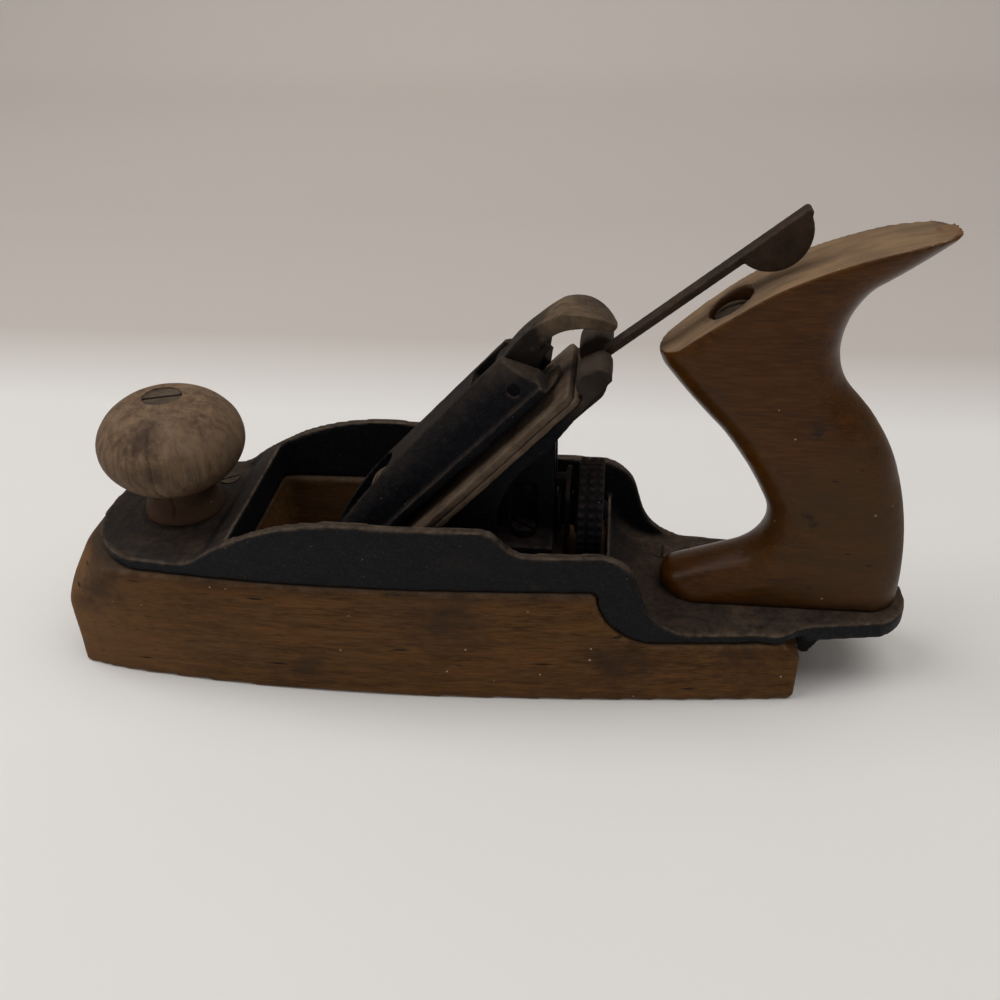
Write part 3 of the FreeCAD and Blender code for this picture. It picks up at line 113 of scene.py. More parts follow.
class Finish:
    """Node tree of one finish: each method adds a step and gives its output."""

    def __init__(self, name):
        self.material = bpy.data.materials.new(name)
        self.material.use_nodes = True
        self.tree = self.material.node_tree
        self.shader = self.tree.nodes["Principled BSDF"]
        self.coords = self.add("ShaderNodeTexCoord")
        self.place = self.coords.outputs["Object"]

    def add(self, kind, **settings):
        node = self.tree.nodes.new(kind)
        for key, value in settings.items():
            setattr(node, key, value)
        return node

    def join(self, value, socket):
        if isinstance(value, bpy.types.NodeSocket):
            self.tree.links.new(value, socket)
        elif socket.type == "RGBA":
            socket.default_value = (*value, 1.0)
        else:
            socket.default_value = value

    def stretched(self, stretch, shift=(0, 0, 0)):
        node = self.add("ShaderNodeMapping")
        self.join(self.place, node.inputs["Vector"])
        node.inputs["Scale"].default_value = stretch
        node.inputs["Location"].default_value = shift
        return node.outputs["Vector"]

    def cloud(self, per_metre, detail=5.0, rough=0.55, stretch=(1, 1, 1), shift=(0, 0, 0),
              twist=0.0):
        """Noise from 0 to 1, with about per_metre blotches in a metre."""
        node = self.add("ShaderNodeTexNoise")
        self.join(self.stretched(stretch, shift), node.inputs["Vector"])
        node.inputs["Scale"].default_value = per_metre
        node.inputs["Detail"].default_value = detail
        node.inputs["Roughness"].default_value = rough
        node.inputs["Distortion"].default_value = twist
        return node.outputs["Fac"]

    def specks(self, per_metre, size, stretch=(1, 1, 1), shift=(0, 0, 0)):
        """Dots scattered over some of the cells: 1 inside each dot, 0 between them."""
        node = self.add("ShaderNodeTexVoronoi")
        self.join(self.stretched(stretch, shift), node.inputs["Vector"])
        node.inputs["Scale"].default_value = per_metre
        dot = self.range(node.outputs["Distance"], size, size * 0.55)
        least = 1.0 - SPECK_SHARE
        chosen = self.range(self.axis(node.outputs["Color"], "X"), least, least + 0.02)
        return self.times(dot, chosen)

    def range(self, value, low, high, to_low=0.0, to_high=1.0):
        node = self.add("ShaderNodeMapRange")
        node.clamp = True
        for key, item in (("Value", value), ("From Min", low), ("From Max", high),
                          ("To Min", to_low), ("To Max", to_high)):
            self.join(item, node.inputs[key])
        return node.outputs["Result"]

    def sum(self, a, b, operation="ADD"):
        node = self.add("ShaderNodeMath", operation=operation)
        node.use_clamp = operation in ("ADD", "SUBTRACT")
        self.join(a, node.inputs[0])
        self.join(b, node.inputs[1])
        return node.outputs[0]

    def times(self, a, b):
        return self.sum(a, b, "MULTIPLY")

    def mix(self, share, a, b):
        """Colour a, turning into b where share is 1."""
        node = self.add("ShaderNodeMix", data_type="RGBA")
        self.join(share, node.inputs[0])
        self.join(a, node.inputs[6])
        self.join(b, node.inputs[7])
        return node.outputs[2]

    def edges(self, low=0.515, high=0.60):
        """1 on the mesh's outer edges."""
        node = self.add("ShaderNodeNewGeometry")
        return self.range(node.outputs["Pointiness"], low, high)

    def hollows(self, low=0.485, high=0.42):
        node = self.add("ShaderNodeNewGeometry")
        return self.range(node.outputs["Pointiness"], low, high)

    def axis(self, output, letter):
        node = self.add("ShaderNodeSeparateXYZ")
        self.join(output, node.inputs[0])
        return node.outputs[letter]

    def upward(self, low=0.35, high=0.9):
        """1 where the surface faces up, in the piece's own frame."""
        return self.range(self.axis(self.coords.outputs["Normal"], "Z"), low, high)

    def height(self, low, high):
        return self.range(self.axis(self.place, "Z"), low * MM, high * MM)

    def along(self, low, high, out_low=0.0, out_high=1.0):
        return self.range(self.axis(self.place, "X"), low * MM, high * MM, out_low, out_high)

    def spot(self, centre, inner, outer, ragged=0.0, per_metre=160):
        """1 within inner mm of a place, falling to 0 at outer mm, with a ragged border."""
        node = self.add("ShaderNodeVectorMath", operation="DISTANCE")
        self.join(self.place, node.inputs[0])
        node.inputs[1].default_value = [c * MM for c in centre]
        away = node.outputs["Value"]
        if ragged:
            cloud = self.cloud(per_metre, 5, 0.65, (1, 1, 1), centre)
            away = self.sum(away, self.range(cloud, 0.3, 0.7, -ragged * MM, ragged * MM), "ADD")
        return self.range(away, outer * MM, inner * MM)

    def bumps(self, *layers):
        """Layers of (height, depth in mm) laid over each other."""
        normal = None
        for height, depth in layers:
            node = self.add("ShaderNodeBump")
            node.inputs["Strength"].default_value = 1.0
            node.inputs["Distance"].default_value = depth * MM
            self.join(height, node.inputs["Height"])
            if normal is not None:
                self.join(normal, node.inputs["Normal"])
            normal = node.outputs["Normal"]
        self.join(normal, self.shader.inputs["Normal"])

    def finish(self, base, rough, metal=0.0, gloss=0.5, coat=0.0, coat_rough=0.3):
        self.join(base, self.shader.inputs["Base Color"])
        self.join(rough, self.shader.inputs["Roughness"])
        self.join(metal, self.shader.inputs["Metallic"])
        self.shader.inputs["Specular IOR Level"].default_value = gloss
        self.shader.inputs["Coat Weight"].default_value = coat
        self.shader.inputs["Coat Roughness"].default_value = coat_rough
        return self.material


# Tones of the wear and grain, and of painted shade on the irons' undersides, as linear red, green and blue.
# Stock wood
BEECH_STREAK = (0.175, 0.086, 0.030)
BEECH_GREY = (0.088, 0.056, 0.028)
BEECH_BLEACHED = (0.190, 0.098, 0.042)
PORE = (0.020, 0.011, 0.007)
RIM_GRIME = (0.026, 0.017, 0.012)
TOP_GRIME = (0.060, 0.043, 0.031)
STAIN = (0.030, 0.020, 0.014)
SCRATCH = (0.014, 0.009, 0.006)
BEECH_EDGE = (0.200, 0.130, 0.078)
PALE_CHIP = (0.46, 0.37, 0.28)
# Knob wood
KNOB_GRAIN = (0.088, 0.055, 0.034)
KNOB_PALE = (0.250, 0.175, 0.112)
KNOB_SOILED = (0.075, 0.046, 0.032)
KNOB_NECK = (0.075, 0.040, 0.023)
KNOB_STAIN = (0.040, 0.023, 0.018)
KNOB_LOW_STAIN = (0.045, 0.027, 0.020)
CRACK = (0.012, 0.007, 0.005)
KNOB_CHIP = (0.42, 0.34, 0.27)
# Tote wood
TOTE_GRAIN = (0.038, 0.012, 0.0008)
TOTE_STREAK = (0.115, 0.044, 0.006)
TOTE_BLOTCH = (0.042, 0.020, 0.007)
TOTE_WORN = (0.062, 0.036, 0.014)
TOTE_PIT = (0.018, 0.011, 0.008)
TOTE_DENT = (0.013, 0.008, 0.006)
BARE_GRAIN = (0.135, 0.087, 0.052)
BARE_SOILED = (0.095, 0.062, 0.040)
HORN_SPLIT = (0.190, 0.095, 0.040)
NUT_GRIME = (0.045, 0.028, 0.019)
TOTE_EDGE = (0.210, 0.125, 0.065)
# Darker tone towards the tote's foot.
TOTE_FOOT_DARKER = (0.024, 0.014, 0.009)
TOTE_CHIP = (0.42, 0.34, 0.26)
# Japanned castings
JAPAN_DULL = (0.010, 0.010, 0.012)
JAPAN_BROWN = (0.022, 0.016, 0.012)
CASTING_EDGE = (0.050, 0.036, 0.026)
CASTING_RUBBED = (0.140, 0.102, 0.072)
CASTING_TAN = (0.062, 0.046, 0.033)
GRIT = (0.060, 0.052, 0.045)
DUST_SPECK = (0.21, 0.18, 0.15)
# Bare iron
RUST_PIT = (0.016, 0.010, 0.008)
IRON_EDGE = (0.185, 0.135, 0.095)
IRON_HOLLOW = (0.012, 0.008, 0.006)
# Painted shade: near-black for faces that turn downwards.
UNDERSIDE_PAINTED_SHADE = (0.010, 0.008, 0.006)
IRON_BLACKED = (0.009, 0.008, 0.008)

# Roughness of the tote, as greys.
VARNISH = (0.30, 0.30, 0.30)
WORN_VARNISH = (0.60, 0.60, 0.60)
BARE_WOOD = (0.78, 0.78, 0.78)

# Shares, and places in mm.
SPECK_SHARE = 0.35
OUTLINE_STEP = 1.0
CAM_HINGE = (27.9, 0.0, 97.6)
NUT_PLACE = (84.4, 0, 120.9)
ROD_FOOT = (126.0, 0, 24.0)
HORN_TIP = (139, 0, 140)
TOTE_BASE = 25.8
# Each stain: its centre, then how far out it is full and where it ends.
STOCK_STAINS = (((-101, -28, 33), 3, 14), ((8, -32, 32), 2, 17), ((60, -31, 14), 1, 13),
                ((-36, -32, 8), 1, 12), ((96, -26, 19), 1, 9))
TOTE_DENTS = ((110.3, -11, 87.2), (112, -10, 60), (114, -10, 57), (84, -10, 35), (119, -9, 72))


def stock_finish():
    c = colours()
    f = Finish("worn_beech_stock")
    grain = f.cloud(430, 8, 0.68, (0.09, 1, 1), twist=0.4)
    fine = f.cloud(2100, 5, 0.68, (0.07, 1, 1))
    pores = f.specks(900, 0.24, (0.16, 1, 1))
    blotch = f.cloud(28, 5, 0.6, (0.6, 1, 1), (3, 1, 0), 0.6)
    base = f.mix(f.range(grain, 0.36, 0.64), c.stock_dark, c.stock)
    base = f.mix(f.range(fine, 0.42, 0.66, 0.0, 0.55), base, BEECH_STREAK)
    base = f.mix(f.range(blotch, 0.52, 0.74, 0.0, 0.62), base, c.stock_dark)
    grey = f.cloud(45, 6, 0.7, (0.35, 1, 1.4), (9, 2, 5))
    base = f.mix(f.range(grey, 0.53, 0.72, 0.0, 0.45), base, BEECH_GREY)
    base = f.mix(f.times(f.along(-62, -106), 0.5), base, BEECH_BLEACHED)
    base = f.mix(f.times(pores, 0.55), base, PORE)
    rim = f.times(f.height(37.6, 41.0), f.range(f.cloud(70, 5, 0.7), 0.30, 0.60, 0.35, 1.0))
    base = f.mix(f.times(rim, 0.85), base, RIM_GRIME)
    base = f.mix(f.times(f.upward(0.75, 0.97), 0.55), base, TOP_GRIME)
    for centre, inner, outer in STOCK_STAINS:
        base = f.mix(f.times(f.spot(centre, inner, outer, 6), 0.62), base, STAIN)
    scratch = f.specks(95, 0.17, (0.5, 1, 3.2), (4, 7, 1))
    base = f.mix(f.times(scratch, 0.85), base, SCRATCH)
    edge = f.times(f.edges(0.51, 0.57), f.range(f.cloud(240, 5, 0.7), 0.40, 0.60))
    base = f.mix(f.times(edge, 0.55), base, BEECH_EDGE)
    flecks = f.times(f.specks(210, 0.085, shift=(5, 3, 8)), f.range(f.cloud(30, 3), 0.45, 0.6))
    base = f.mix(flecks, base, PALE_CHIP)
    rough = f.range(blotch, 0.3, 0.7, 0.55, 0.78)
    f.bumps((grain, 0.16), (fine, 0.07), (f.sum(1.0, scratch, "SUBTRACT"), 0.2),
            (f.sum(1.0, pores, "SUBTRACT"), 0.06))
    return f.finish(base, rough, gloss=0.08)


def knob_finish():
    c = colours()
    f = Finish("bare_beech_knob")
    grain = f.cloud(420, 7, 0.6, (1, 1, 0.10), twist=0.3)
    fine = f.cloud(2300, 4, 0.6, (1, 1, 0.10))
    lathe = f.cloud(900, 3, 0.5, (0.02, 0.02, 1))
    blotch = f.cloud(70, 6, 0.62, (1, 1, 1), (2, 5, 1), 0.5)
    base = f.mix(f.range(grain, 0.34, 0.66), KNOB_GRAIN, c.knob)
    base = f.mix(f.range(blotch, 0.46, 0.72, 0.0, 0.6), base, KNOB_PALE)
    base = f.mix(f.range(f.cloud(120, 5, 0.7, shift=(8, 8, 2)), 0.54, 0.70, 0.0, 0.5), base,
                 KNOB_SOILED)
    base = f.mix(f.height(66, 54), base, KNOB_NECK)
    base = f.mix(f.times(f.spot((-79.6, -17.5, 80.4), 2.2, 7.5, 3.5, 260), 0.72), base, KNOB_STAIN)
    base = f.mix(f.times(f.spot((-77.8, -22.2, 71), 1.0, 6.0, 3.5, 300), 0.45), base, KNOB_LOW_STAIN)
    base = f.mix(f.times(f.hollows(0.475, 0.40), 0.9), base, CRACK)
    base = f.mix(f.times(f.specks(260, 0.07, shift=(1, 6, 3)), 0.8), base, KNOB_CHIP)
    f.bumps((grain, 0.20), (fine, 0.11), (lathe, 0.04), (blotch, 0.25))
    return f.finish(base, f.range(blotch, 0.3, 0.7, 0.62, 0.82), gloss=0.14)


def tote_finish():
    c = colours()
    f = Finish("varnished_beech_tote")
    grain = f.cloud(210, 7, 0.62, (0.22, 1, 1), twist=0.6)
    fine = f.cloud(1500, 4, 0.6, (0.10, 1, 1))
    blotch = f.cloud(38, 6, 0.62, (1, 1, 1), (7, 1, 4), 0.6)
    base = f.mix(f.range(grain, 0.34, 0.66), TOTE_GRAIN, c.tote)
    base = f.mix(f.range(fine, 0.44, 0.68, 0.0, 0.45), base, TOTE_STREAK)
    base = f.mix(f.range(blotch, 0.50, 0.72, 0.0, 0.5), base, TOTE_BLOTCH)
    worn = f.sum(f.spot((137, -6, 52), 8, 34, 9, 90), f.spot((118, -9, 66), 3, 20, 8, 120))
    worn = f.sum(worn, f.spot((131, -4, 98), 2, 18, 7, 130))
    worn = f.sum(worn, f.times(f.spot((110, -9, 40), 2, 26, 9, 110), 0.5))
    base = f.mix(f.times(worn, 0.55), base, TOTE_WORN)
    pits = f.times(f.specks(300, 0.16, (0.45, 1, 1.0), (3, 1, 2)), f.range(worn, 0.05, 0.6))
    base = f.mix(f.times(pits, 0.75), base, TOTE_PIT)
    for centre in TOTE_DENTS:
        base = f.mix(f.times(f.spot(centre, 0.3, 2.2, 1.6, 700), 0.85), base, TOTE_DENT)
    slope = f.add("ShaderNodeVectorMath", operation="DOT_PRODUCT")
    f.join(f.coords.outputs["Normal"], slope.inputs[0])
    slope.inputs[1].default_value = (-0.48, 0.0, 0.877)
    top = f.times(f.range(slope.outputs["Value"], 0.86, 0.94), f.height(104, 108))
    bare = f.mix(f.range(f.cloud(330, 6, 0.62, (0.16, 1, 0.25)), 0.34, 0.66), BARE_GRAIN, c.tote_bare)
    bare = f.mix(f.range(f.cloud(60, 5, 0.6, shift=(4, 4, 4)), 0.50, 0.70, 0.0, 0.55), bare, BARE_SOILED)
    base = f.mix(top, base, bare)
    base = f.mix(f.times(f.spot(HORN_TIP, 2, 7, 2.5, 400), 0.6), base, HORN_SPLIT)
    base = f.mix(f.times(f.spot(NUT_PLACE, 6.6, 9.5, 1.5, 300), 0.45), base, NUT_GRIME)
    edge = f.times(f.edges(0.53, 0.60), f.range(f.cloud(300, 5, 0.7), 0.40, 0.62))
    base = f.mix(f.times(edge, 0.5), base, TOTE_EDGE)
    # Darker towards the tote's foot, over its lowest 4 mm.
    base = f.mix(f.times(f.height(30, 25.8), 0.5), base, TOTE_FOOT_DARKER)
    base = f.mix(f.times(f.specks(190, 0.07, shift=(2, 8, 3)), 0.7), base, TOTE_CHIP)
    rough = f.mix(top, f.mix(worn, VARNISH, WORN_VARNISH), BARE_WOOD)
    f.bumps((grain, 0.05), (fine, 0.025), (f.sum(1.0, pits, "SUBTRACT"), 0.10), (blotch, 0.12))
    return f.finish(base, rough, gloss=0.17)


def casting_finish(name, dusty, worn, tan_from=None, gloss=0.12):
    """Black baked finish on cast iron, dusty on top, worn brown on the edges, tan above a height."""
    c = colours()
    f = Finish(name)
    skin = f.cloud(420, 7, 0.65)
    patch = f.cloud(70, 6, 0.65, shift=(2, 6, 4), twist=0.5)
    fine = f.cloud(2600, 3, 0.6)
    base = f.mix(f.range(skin, 0.42, 0.68, 0.0, 0.55), c.japan, JAPAN_DULL)
    base = f.mix(f.range(patch, 0.55, 0.72, 0.0, 0.5 * worn), base, JAPAN_BROWN)
    dusted = f.times(f.upward(0.30, 0.95), f.range(patch, 0.30, 0.62, 0.25, 1.0))
    dusted = f.times(dusted, f.range(skin, 0.34, 0.62, 0.45, 1.0))
    dusted = f.times(dusted, f.along(-95, 60, 0.55, 1.25))
    base = f.mix(f.times(dusted, 0.62 * dusty), base, c.dust)
    edge = f.times(f.edges(0.508, 0.56), f.range(skin, 0.36, 0.58, 0.25, 1.0))
    rubbed = f.times(edge, f.upward(0.05, 0.75))
    base = f.mix(f.times(edge, 0.22 * worn), base, CASTING_EDGE)
    base = f.mix(f.times(rubbed, 0.75 * worn), base, CASTING_RUBBED)
    if tan_from:
        high = f.times(f.height(tan_from, tan_from + 9), f.range(patch, 0.34, 0.60, 0.25, 1.0))
        base = f.mix(f.times(high, 0.7), base, CASTING_TAN)
    grit = f.cloud(1900, 4, 0.7, shift=(6, 2, 9))
    base = f.mix(f.range(grit, 0.56, 0.72, 0.0, 0.5 * dusty), base, GRIT)
    specks = f.times(f.specks(420, 0.09, shift=(1, 2, 3)), f.range(patch, 0.42, 0.6))
    base = f.mix(f.times(specks, 0.8), base, DUST_SPECK)
    rough = f.range(f.sum(dusted, edge), 0.0, 0.8, 0.55, 0.85)
    f.bumps((skin, 0.42), (fine, 0.09), (patch, 0.3))
    return f.finish(base, rough, gloss=gloss)


def rusty_finish(name, light, dark, share, metal, black_at=None):
    """Bare iron gone brown, with a rubbed sheen on its edges, painted shade on its undersides, and blacked
    round one place.
    """
    f = Finish(name)
    skin = f.cloud(520, 7, 0.66)
    patch = f.cloud(110, 6, 0.62, shift=(5, 1, 7), twist=0.6)
    fine = f.cloud(3000, 3, 0.6)
    base = f.mix(f.range(patch, 0.36, 0.66), dark, light)
    base = f.mix(f.range(skin, 0.46, 0.62, 0.0, share), base, colours().rust)
    base = f.mix(f.times(f.specks(700, 0.16), f.range(patch, 0.45, 0.6, 0.0, 0.7)), base, RUST_PIT)
    edge = f.times(f.edges(0.515, 0.59), f.range(skin, 0.35, 0.6, 0.2, 1.0))
    base = f.mix(f.times(edge, 0.55), base, IRON_EDGE)
    base = f.mix(f.times(f.hollows(), 0.7), base, IRON_HOLLOW)
    # Painted shade: faces turned downwards are darkened almost to black.
    base = f.mix(f.times(f.upward(-0.1, -0.7), 0.8), base, UNDERSIDE_PAINTED_SHADE)
    if black_at:
        base = f.mix(f.times(f.spot(black_at, 13, 19, 4), 0.9), base, IRON_BLACKED)
    f.bumps((skin, 0.32), (fine, 0.08), (patch, 0.2))
    return f.finish(base, f.range(skin, 0.35, 0.65, 0.50, 0.78), metal, gloss=0.12)


def make_finishes():
    return {
        "stock": stock_finish(),
        "knob": knob_finish(),
        "tote": tote_finish(),
        "frame": casting_finish("black_casting", dusty=1.15, worn=1.0),
        "cap": casting_finish("black_lever_cap", dusty=0.8, worn=0.45, tan_from=97, gloss=0.05),
        "frog": casting_finish("black_frog", dusty=0.3, worn=0.3, tan_from=88, gloss=0.05),
        "blade": rusty_finish("dull_steel", colours().steel, (0.056, 0.037, 0.025), share=0.35, metal=0.12),
        "lever": rusty_finish("brown_iron", (0.040, 0.023, 0.014), (0.013, 0.007, 0.004),
                              share=0.35, metal=0.05),
        "cam": rusty_finish("bronzed_iron", (0.150, 0.102, 0.062), (0.048, 0.034, 0.023),
                            share=0.35, metal=0.25, black_at=CAM_HINGE),
        "screw": rusty_finish("rubbed_screw", (0.125, 0.092, 0.066), (0.040, 0.027, 0.019),
                              share=0.5, metal=0.35),
        "wheel": casting_finish("dark_brass_wheel", dusty=0.25, worn=0.35, gloss=0.05),
        "dark": casting_finish("blackened_iron", dusty=0.15, worn=0.08, gloss=0.04),
        "nut": rusty_finish("dark_brass_nut", (0.100, 0.075, 0.048), (0.040, 0.028, 0.018),
                            share=0.2, metal=0.3),
    }


FINISHES = {}


# ---------------------------------------------------------------- mesh work

def only(piece):
    """Select this piece alone and make it active."""
    bpy.ops.object.select_all(action="DESELECT")
    piece.select_set(True)
    bpy.context.view_layer.objects.active = piece


def apply_modifier(piece, kind, **settings):
    modifier = piece.modifiers.new(kind.lower(), kind)
    for key, value in settings.items():
        setattr(modifier, key, value)
    only(piece)
    bpy.ops.object.modifier_apply(modifier=modifier.name)


def remesh(piece, grain, passes=3):
    """Even mesh with softened edges."""
    apply_modifier(piece, "REMESH", mode="VOXEL", voxel_size=grain, use_smooth_shade=True)
    if passes:
        apply_modifier(piece, "SMOOTH", factor=0.5, iterations=passes)


def dent(piece, depth, size):
    """Press the surface in unevenly, never out."""
    texture = bpy.data.textures.new(piece.name + "_dents", "CLOUDS")
    texture.noise_scale = size
    texture.noise_depth = 3
    apply_modifier(piece, "DISPLACE", texture=texture, texture_coords="LOCAL", direction="NORMAL",
                   strength=depth, mid_level=1.0)


def points_of(piece):
    places = np.zeros(len(piece.data.vertices) * 3)
    piece.data.vertices.foreach_get("co", places)
    return places.reshape(-1, 3)


def set_points(piece, places):
    piece.data.vertices.foreach_set("co", places.ravel())
    piece.data.update()


def settle(piece, node, finish):
    """Give the piece its finish and its body, and let it stand for the frame's node."""
    piece.data.materials.clear()
    piece.data.materials.append(FINISHES[finish])
    only(piece)
    bpy.ops.object.shade_smooth()
    body = next(b for b, names in frame["record"]["behaviour"]["bodies"].items() if node in names)
    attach(piece, body)
    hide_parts(node)
    return piece


def worn_copy(node, name, grain, passes=3, dents=0.0, dent_size=6 * MM):
    """Merged copy of a node's mesh with worn edges."""
    bpy.ops.object.select_all(action="DESELECT")
    piece = bpy.data.objects.new(name, frame["nodes"][node].data.copy())
    piece.data.name = name
    bpy.context.scene.collection.objects.link(piece)
    only(piece)
    bpy.ops.object.mode_set(mode="EDIT")
    bpy.ops.mesh.select_all(action="SELECT")
    bpy.ops.mesh.remove_doubles(threshold=0.002 * MM)
    bpy.ops.object.mode_set(mode="OBJECT")
    remesh(piece, grain, passes)
    if dents:
        dent(piece, dents, dent_size)
    return piece


# ---------------------------------------------------------------- tote

def arc_points(start, through, end):
    """Points along the circle through three points, without the first."""
    (ax, az), (bx, bz), (cx, cz) = start, through, end
    d = 2 * (ax * (bz - cz) + bx * (cz - az) + cx * (az - bz))
    a2, b2, c2 = ax * ax + az * az, bx * bx + bz * bz, cx * cx + cz * cz
    ux = (a2 * (bz - cz) + b2 * (cz - az) + c2 * (az - bz)) / d
    uz = (a2 * (cx - bx) + b2 * (ax - cx) + c2 * (bx - ax)) / d
    radius = math.hypot(ax - ux, az - uz)
    angles = [math.atan2(z - uz, x - ux) for x, z in (start, through, end)]
    turn = 1 if d > 0 else -1
    sweep = (turn * (angles[2] - angles[0])) % (2 * math.pi)
    count = max(3, round(sweep * radius / OUTLINE_STEP))
    places = []
    for i in range(1, count + 1):
        angle = angles[0] + turn * sweep * i / count
        places.append((ux + radius * math.cos(angle), uz + radius * math.sin(angle)))
    return places


def line_points(start, end):
    count = max(1, round(math.dist(start, end) / OUTLINE_STEP))
    return [(start[0] + (end[0] - start[0]) * i / count,
             start[1] + (end[1] - start[1]) * i / count) for i in range(1, count + 1)]


def path_points(path):
    """Walk a path of points and ("arc", through, end) stretches."""
    places = [path[0]]
    for item in path[1:]:
        if item[0] == "arc":
            places += arc_points(places[-1], item[1], item[2])
        else:
            places += line_points(places[-1], item)
    return places


TOTE_FRONT = [(76.5, 14.0), (73.0, TOTE_BASE), ("arc", (71.9, 29.8), (75.1, 34.3)),
              ("arc", (84.6, 37.6), (94.2, 41.1)), ("arc", (101.0, 47.6), (101.3, 58.2)),
              ("arc", (94.5, 70.6), (85.0, 83.5)), ("arc", (75.2, 94.0), (67.8, 103.0)),
              (66.7, 106.0), ("arc", (66.9, 110.0), (70.0, 114.0)), (90.0, 140.0), (100.0, 152.0)]
TOTE_REAR = [(150.0, 152.0), (140.6, 144.0), ("arc", (139.2, 139.6), (136.4, 136.8)),
             ("arc", (128.2, 130.4), (120.6, 125.2)), ("arc", (114.8, 110.4), (120.6, 95.3)),
             ("arc", (129.2, 85.4), (135.7, 74.1)), ("arc", (142.6, 50.6), (144.6, TOTE_BASE)),
             (144.6, 14.0)]
TOTE_TOP = [(60.0, 101.6), (66.5, 106.3), (71.6, 109.4), ("arc", (82.0, 118.0), (94.0, 126.4)),
            ("arc", (115.0, 135.4), (137.6, 140.6)), (150.0, 142.6)]


def prism(name, outline, half):
    """Solid from a side outline in mm, half mm thick each way in Y."""
    bpy.ops.object.select_all(action="DESELECT")
    bpy.ops.mesh.primitive_circle_add(vertices=len(outline), radius=1.0, fill_type="NGON")
    piece = bpy.context.active_object
    piece.name = name
    piece.data.name = name
    for vertex, (x, z) in zip(piece.data.vertices, outline):
        vertex.co = (x * MM, -half * MM, z * MM)
    bpy.ops.object.mode_set(mode="EDIT")
    bpy.ops.mesh.select_all(action="SELECT")
    bpy.ops.mesh.extrude_region_move(TRANSFORM_OT_translate={"value": (0, 2 * half * MM, 0)})
    bpy.ops.mesh.select_all(action="SELECT")
    bpy.ops.mesh.normals_make_consistent(inside=False)
    bpy.ops.object.mode_set(mode="OBJECT")
    return piece


BED_PITCH = 46.0
BED_FOOT = -47.4


def bed_place(slope, off):
    """Side-view place of a point slope mm up the bed and off mm above it."""
    pitch = math.radians(BED_PITCH)
    return (BED_FOOT + slope * math.cos(pitch) - off * math.sin(pitch),
            slope * math.sin(pitch) + off * math.cos(pitch))


def cut_away(piece, tool):
    apply_modifier(piece, "BOOLEAN", operation="DIFFERENCE", object=tool, solver="EXACT")
    bpy.data.objects.remove(tool)


def round_grip(piece, half, reach):
    """Round the blank's sides over to its front and rear outlines."""
    rims = [np.array(path_points(path)) * MM for path in (TOTE_FRONT, TOTE_REAR)]
    places, inward, depth = [], [], []
    for rim in rims:
        along = np.gradient(rim, axis=0)
        along /= np.linalg.norm(along, axis=1)[:, None]
        places.append(rim)
        inward.append(np.stack([along[:, 1], -along[:, 0]], axis=1))
    places, inward = np.concatenate(places), np.concatenate(inward)
    for place, way in zip(places, inward):
        free = 0.6 * MM
        for step in np.arange(0.5 * MM, reach + 0.01 * MM, 0.25 * MM):
            probe = place + way * step
            if np.sqrt(((places - probe) ** 2).sum(1)).min() < step - 0.06 * MM:
                break
            free = step
        depth.append(free)
    depth = np.array(depth)
    for _ in range(6):
        depth = np.convolve(np.pad(depth, 1, mode="edge"), (0.25, 0.5, 0.25), mode="valid")
    wall = half / (half + reach)
    points = points_of(piece)
    for start in range(0, len(points), 4000):
        part = points[start:start + 4000]
        flat = part[:, (0, 2)]
        gaps = np.sqrt(((flat[:, None, :] - places[None]) ** 2).sum(2))
        nearest = gaps.argmin(1)
        away = gaps[np.arange(len(part)), nearest]
        limit = np.minimum(depth[nearest], reach)
        full = np.arccos(np.clip(1 - limit / reach, -1, 1))
        level = np.abs(part[:, 1]) / half
        side = level > 0.985
        near = away < 0.7 * MM
        share = np.where(side, wall + (1 - wall) * np.clip(away / limit, 0, 1), wall * level)
        angle = share * full
        offset = reach * (1 - np.cos(angle))
        height = half * np.sin(angle)
        home = places[nearest] + inward[nearest] * offset[:, None]
        moved = (side & (away < limit)) | (near & ~side)
        flat = np.where(moved[:, None], home, flat)
        part[:, 0] = flat[:, 0]
        part[:, 2] = flat[:, 1]
        part[:, 1] = np.where(moved, np.sign(part[:, 1]) * height, part[:, 1])
        points[start:start + 4000] = part
    set_points(piece, points)


def fray_horn(piece):
    """Split, broken fibres at the tip of the horn."""
    points = points_of(piece)
    tip = np.array(HORN_TIP) * MM
    for i, point in enumerate(points):
        gap = np.linalg.norm(point - tip)
        if gap < 9 * MM:
            share = (1 - gap / (9 * MM)) ** 0.7
            place = Vector(point) * 900
            fibre = noise.noise(Vector((place.x * 0.3, place.y * 1.6, place.z * 0.8)))
            shift = -abs(fibre) * 1.5 * MM * share
            points[i] += shift * np.array((0.75, 0.0, 0.66))
    set_points(piece, points)


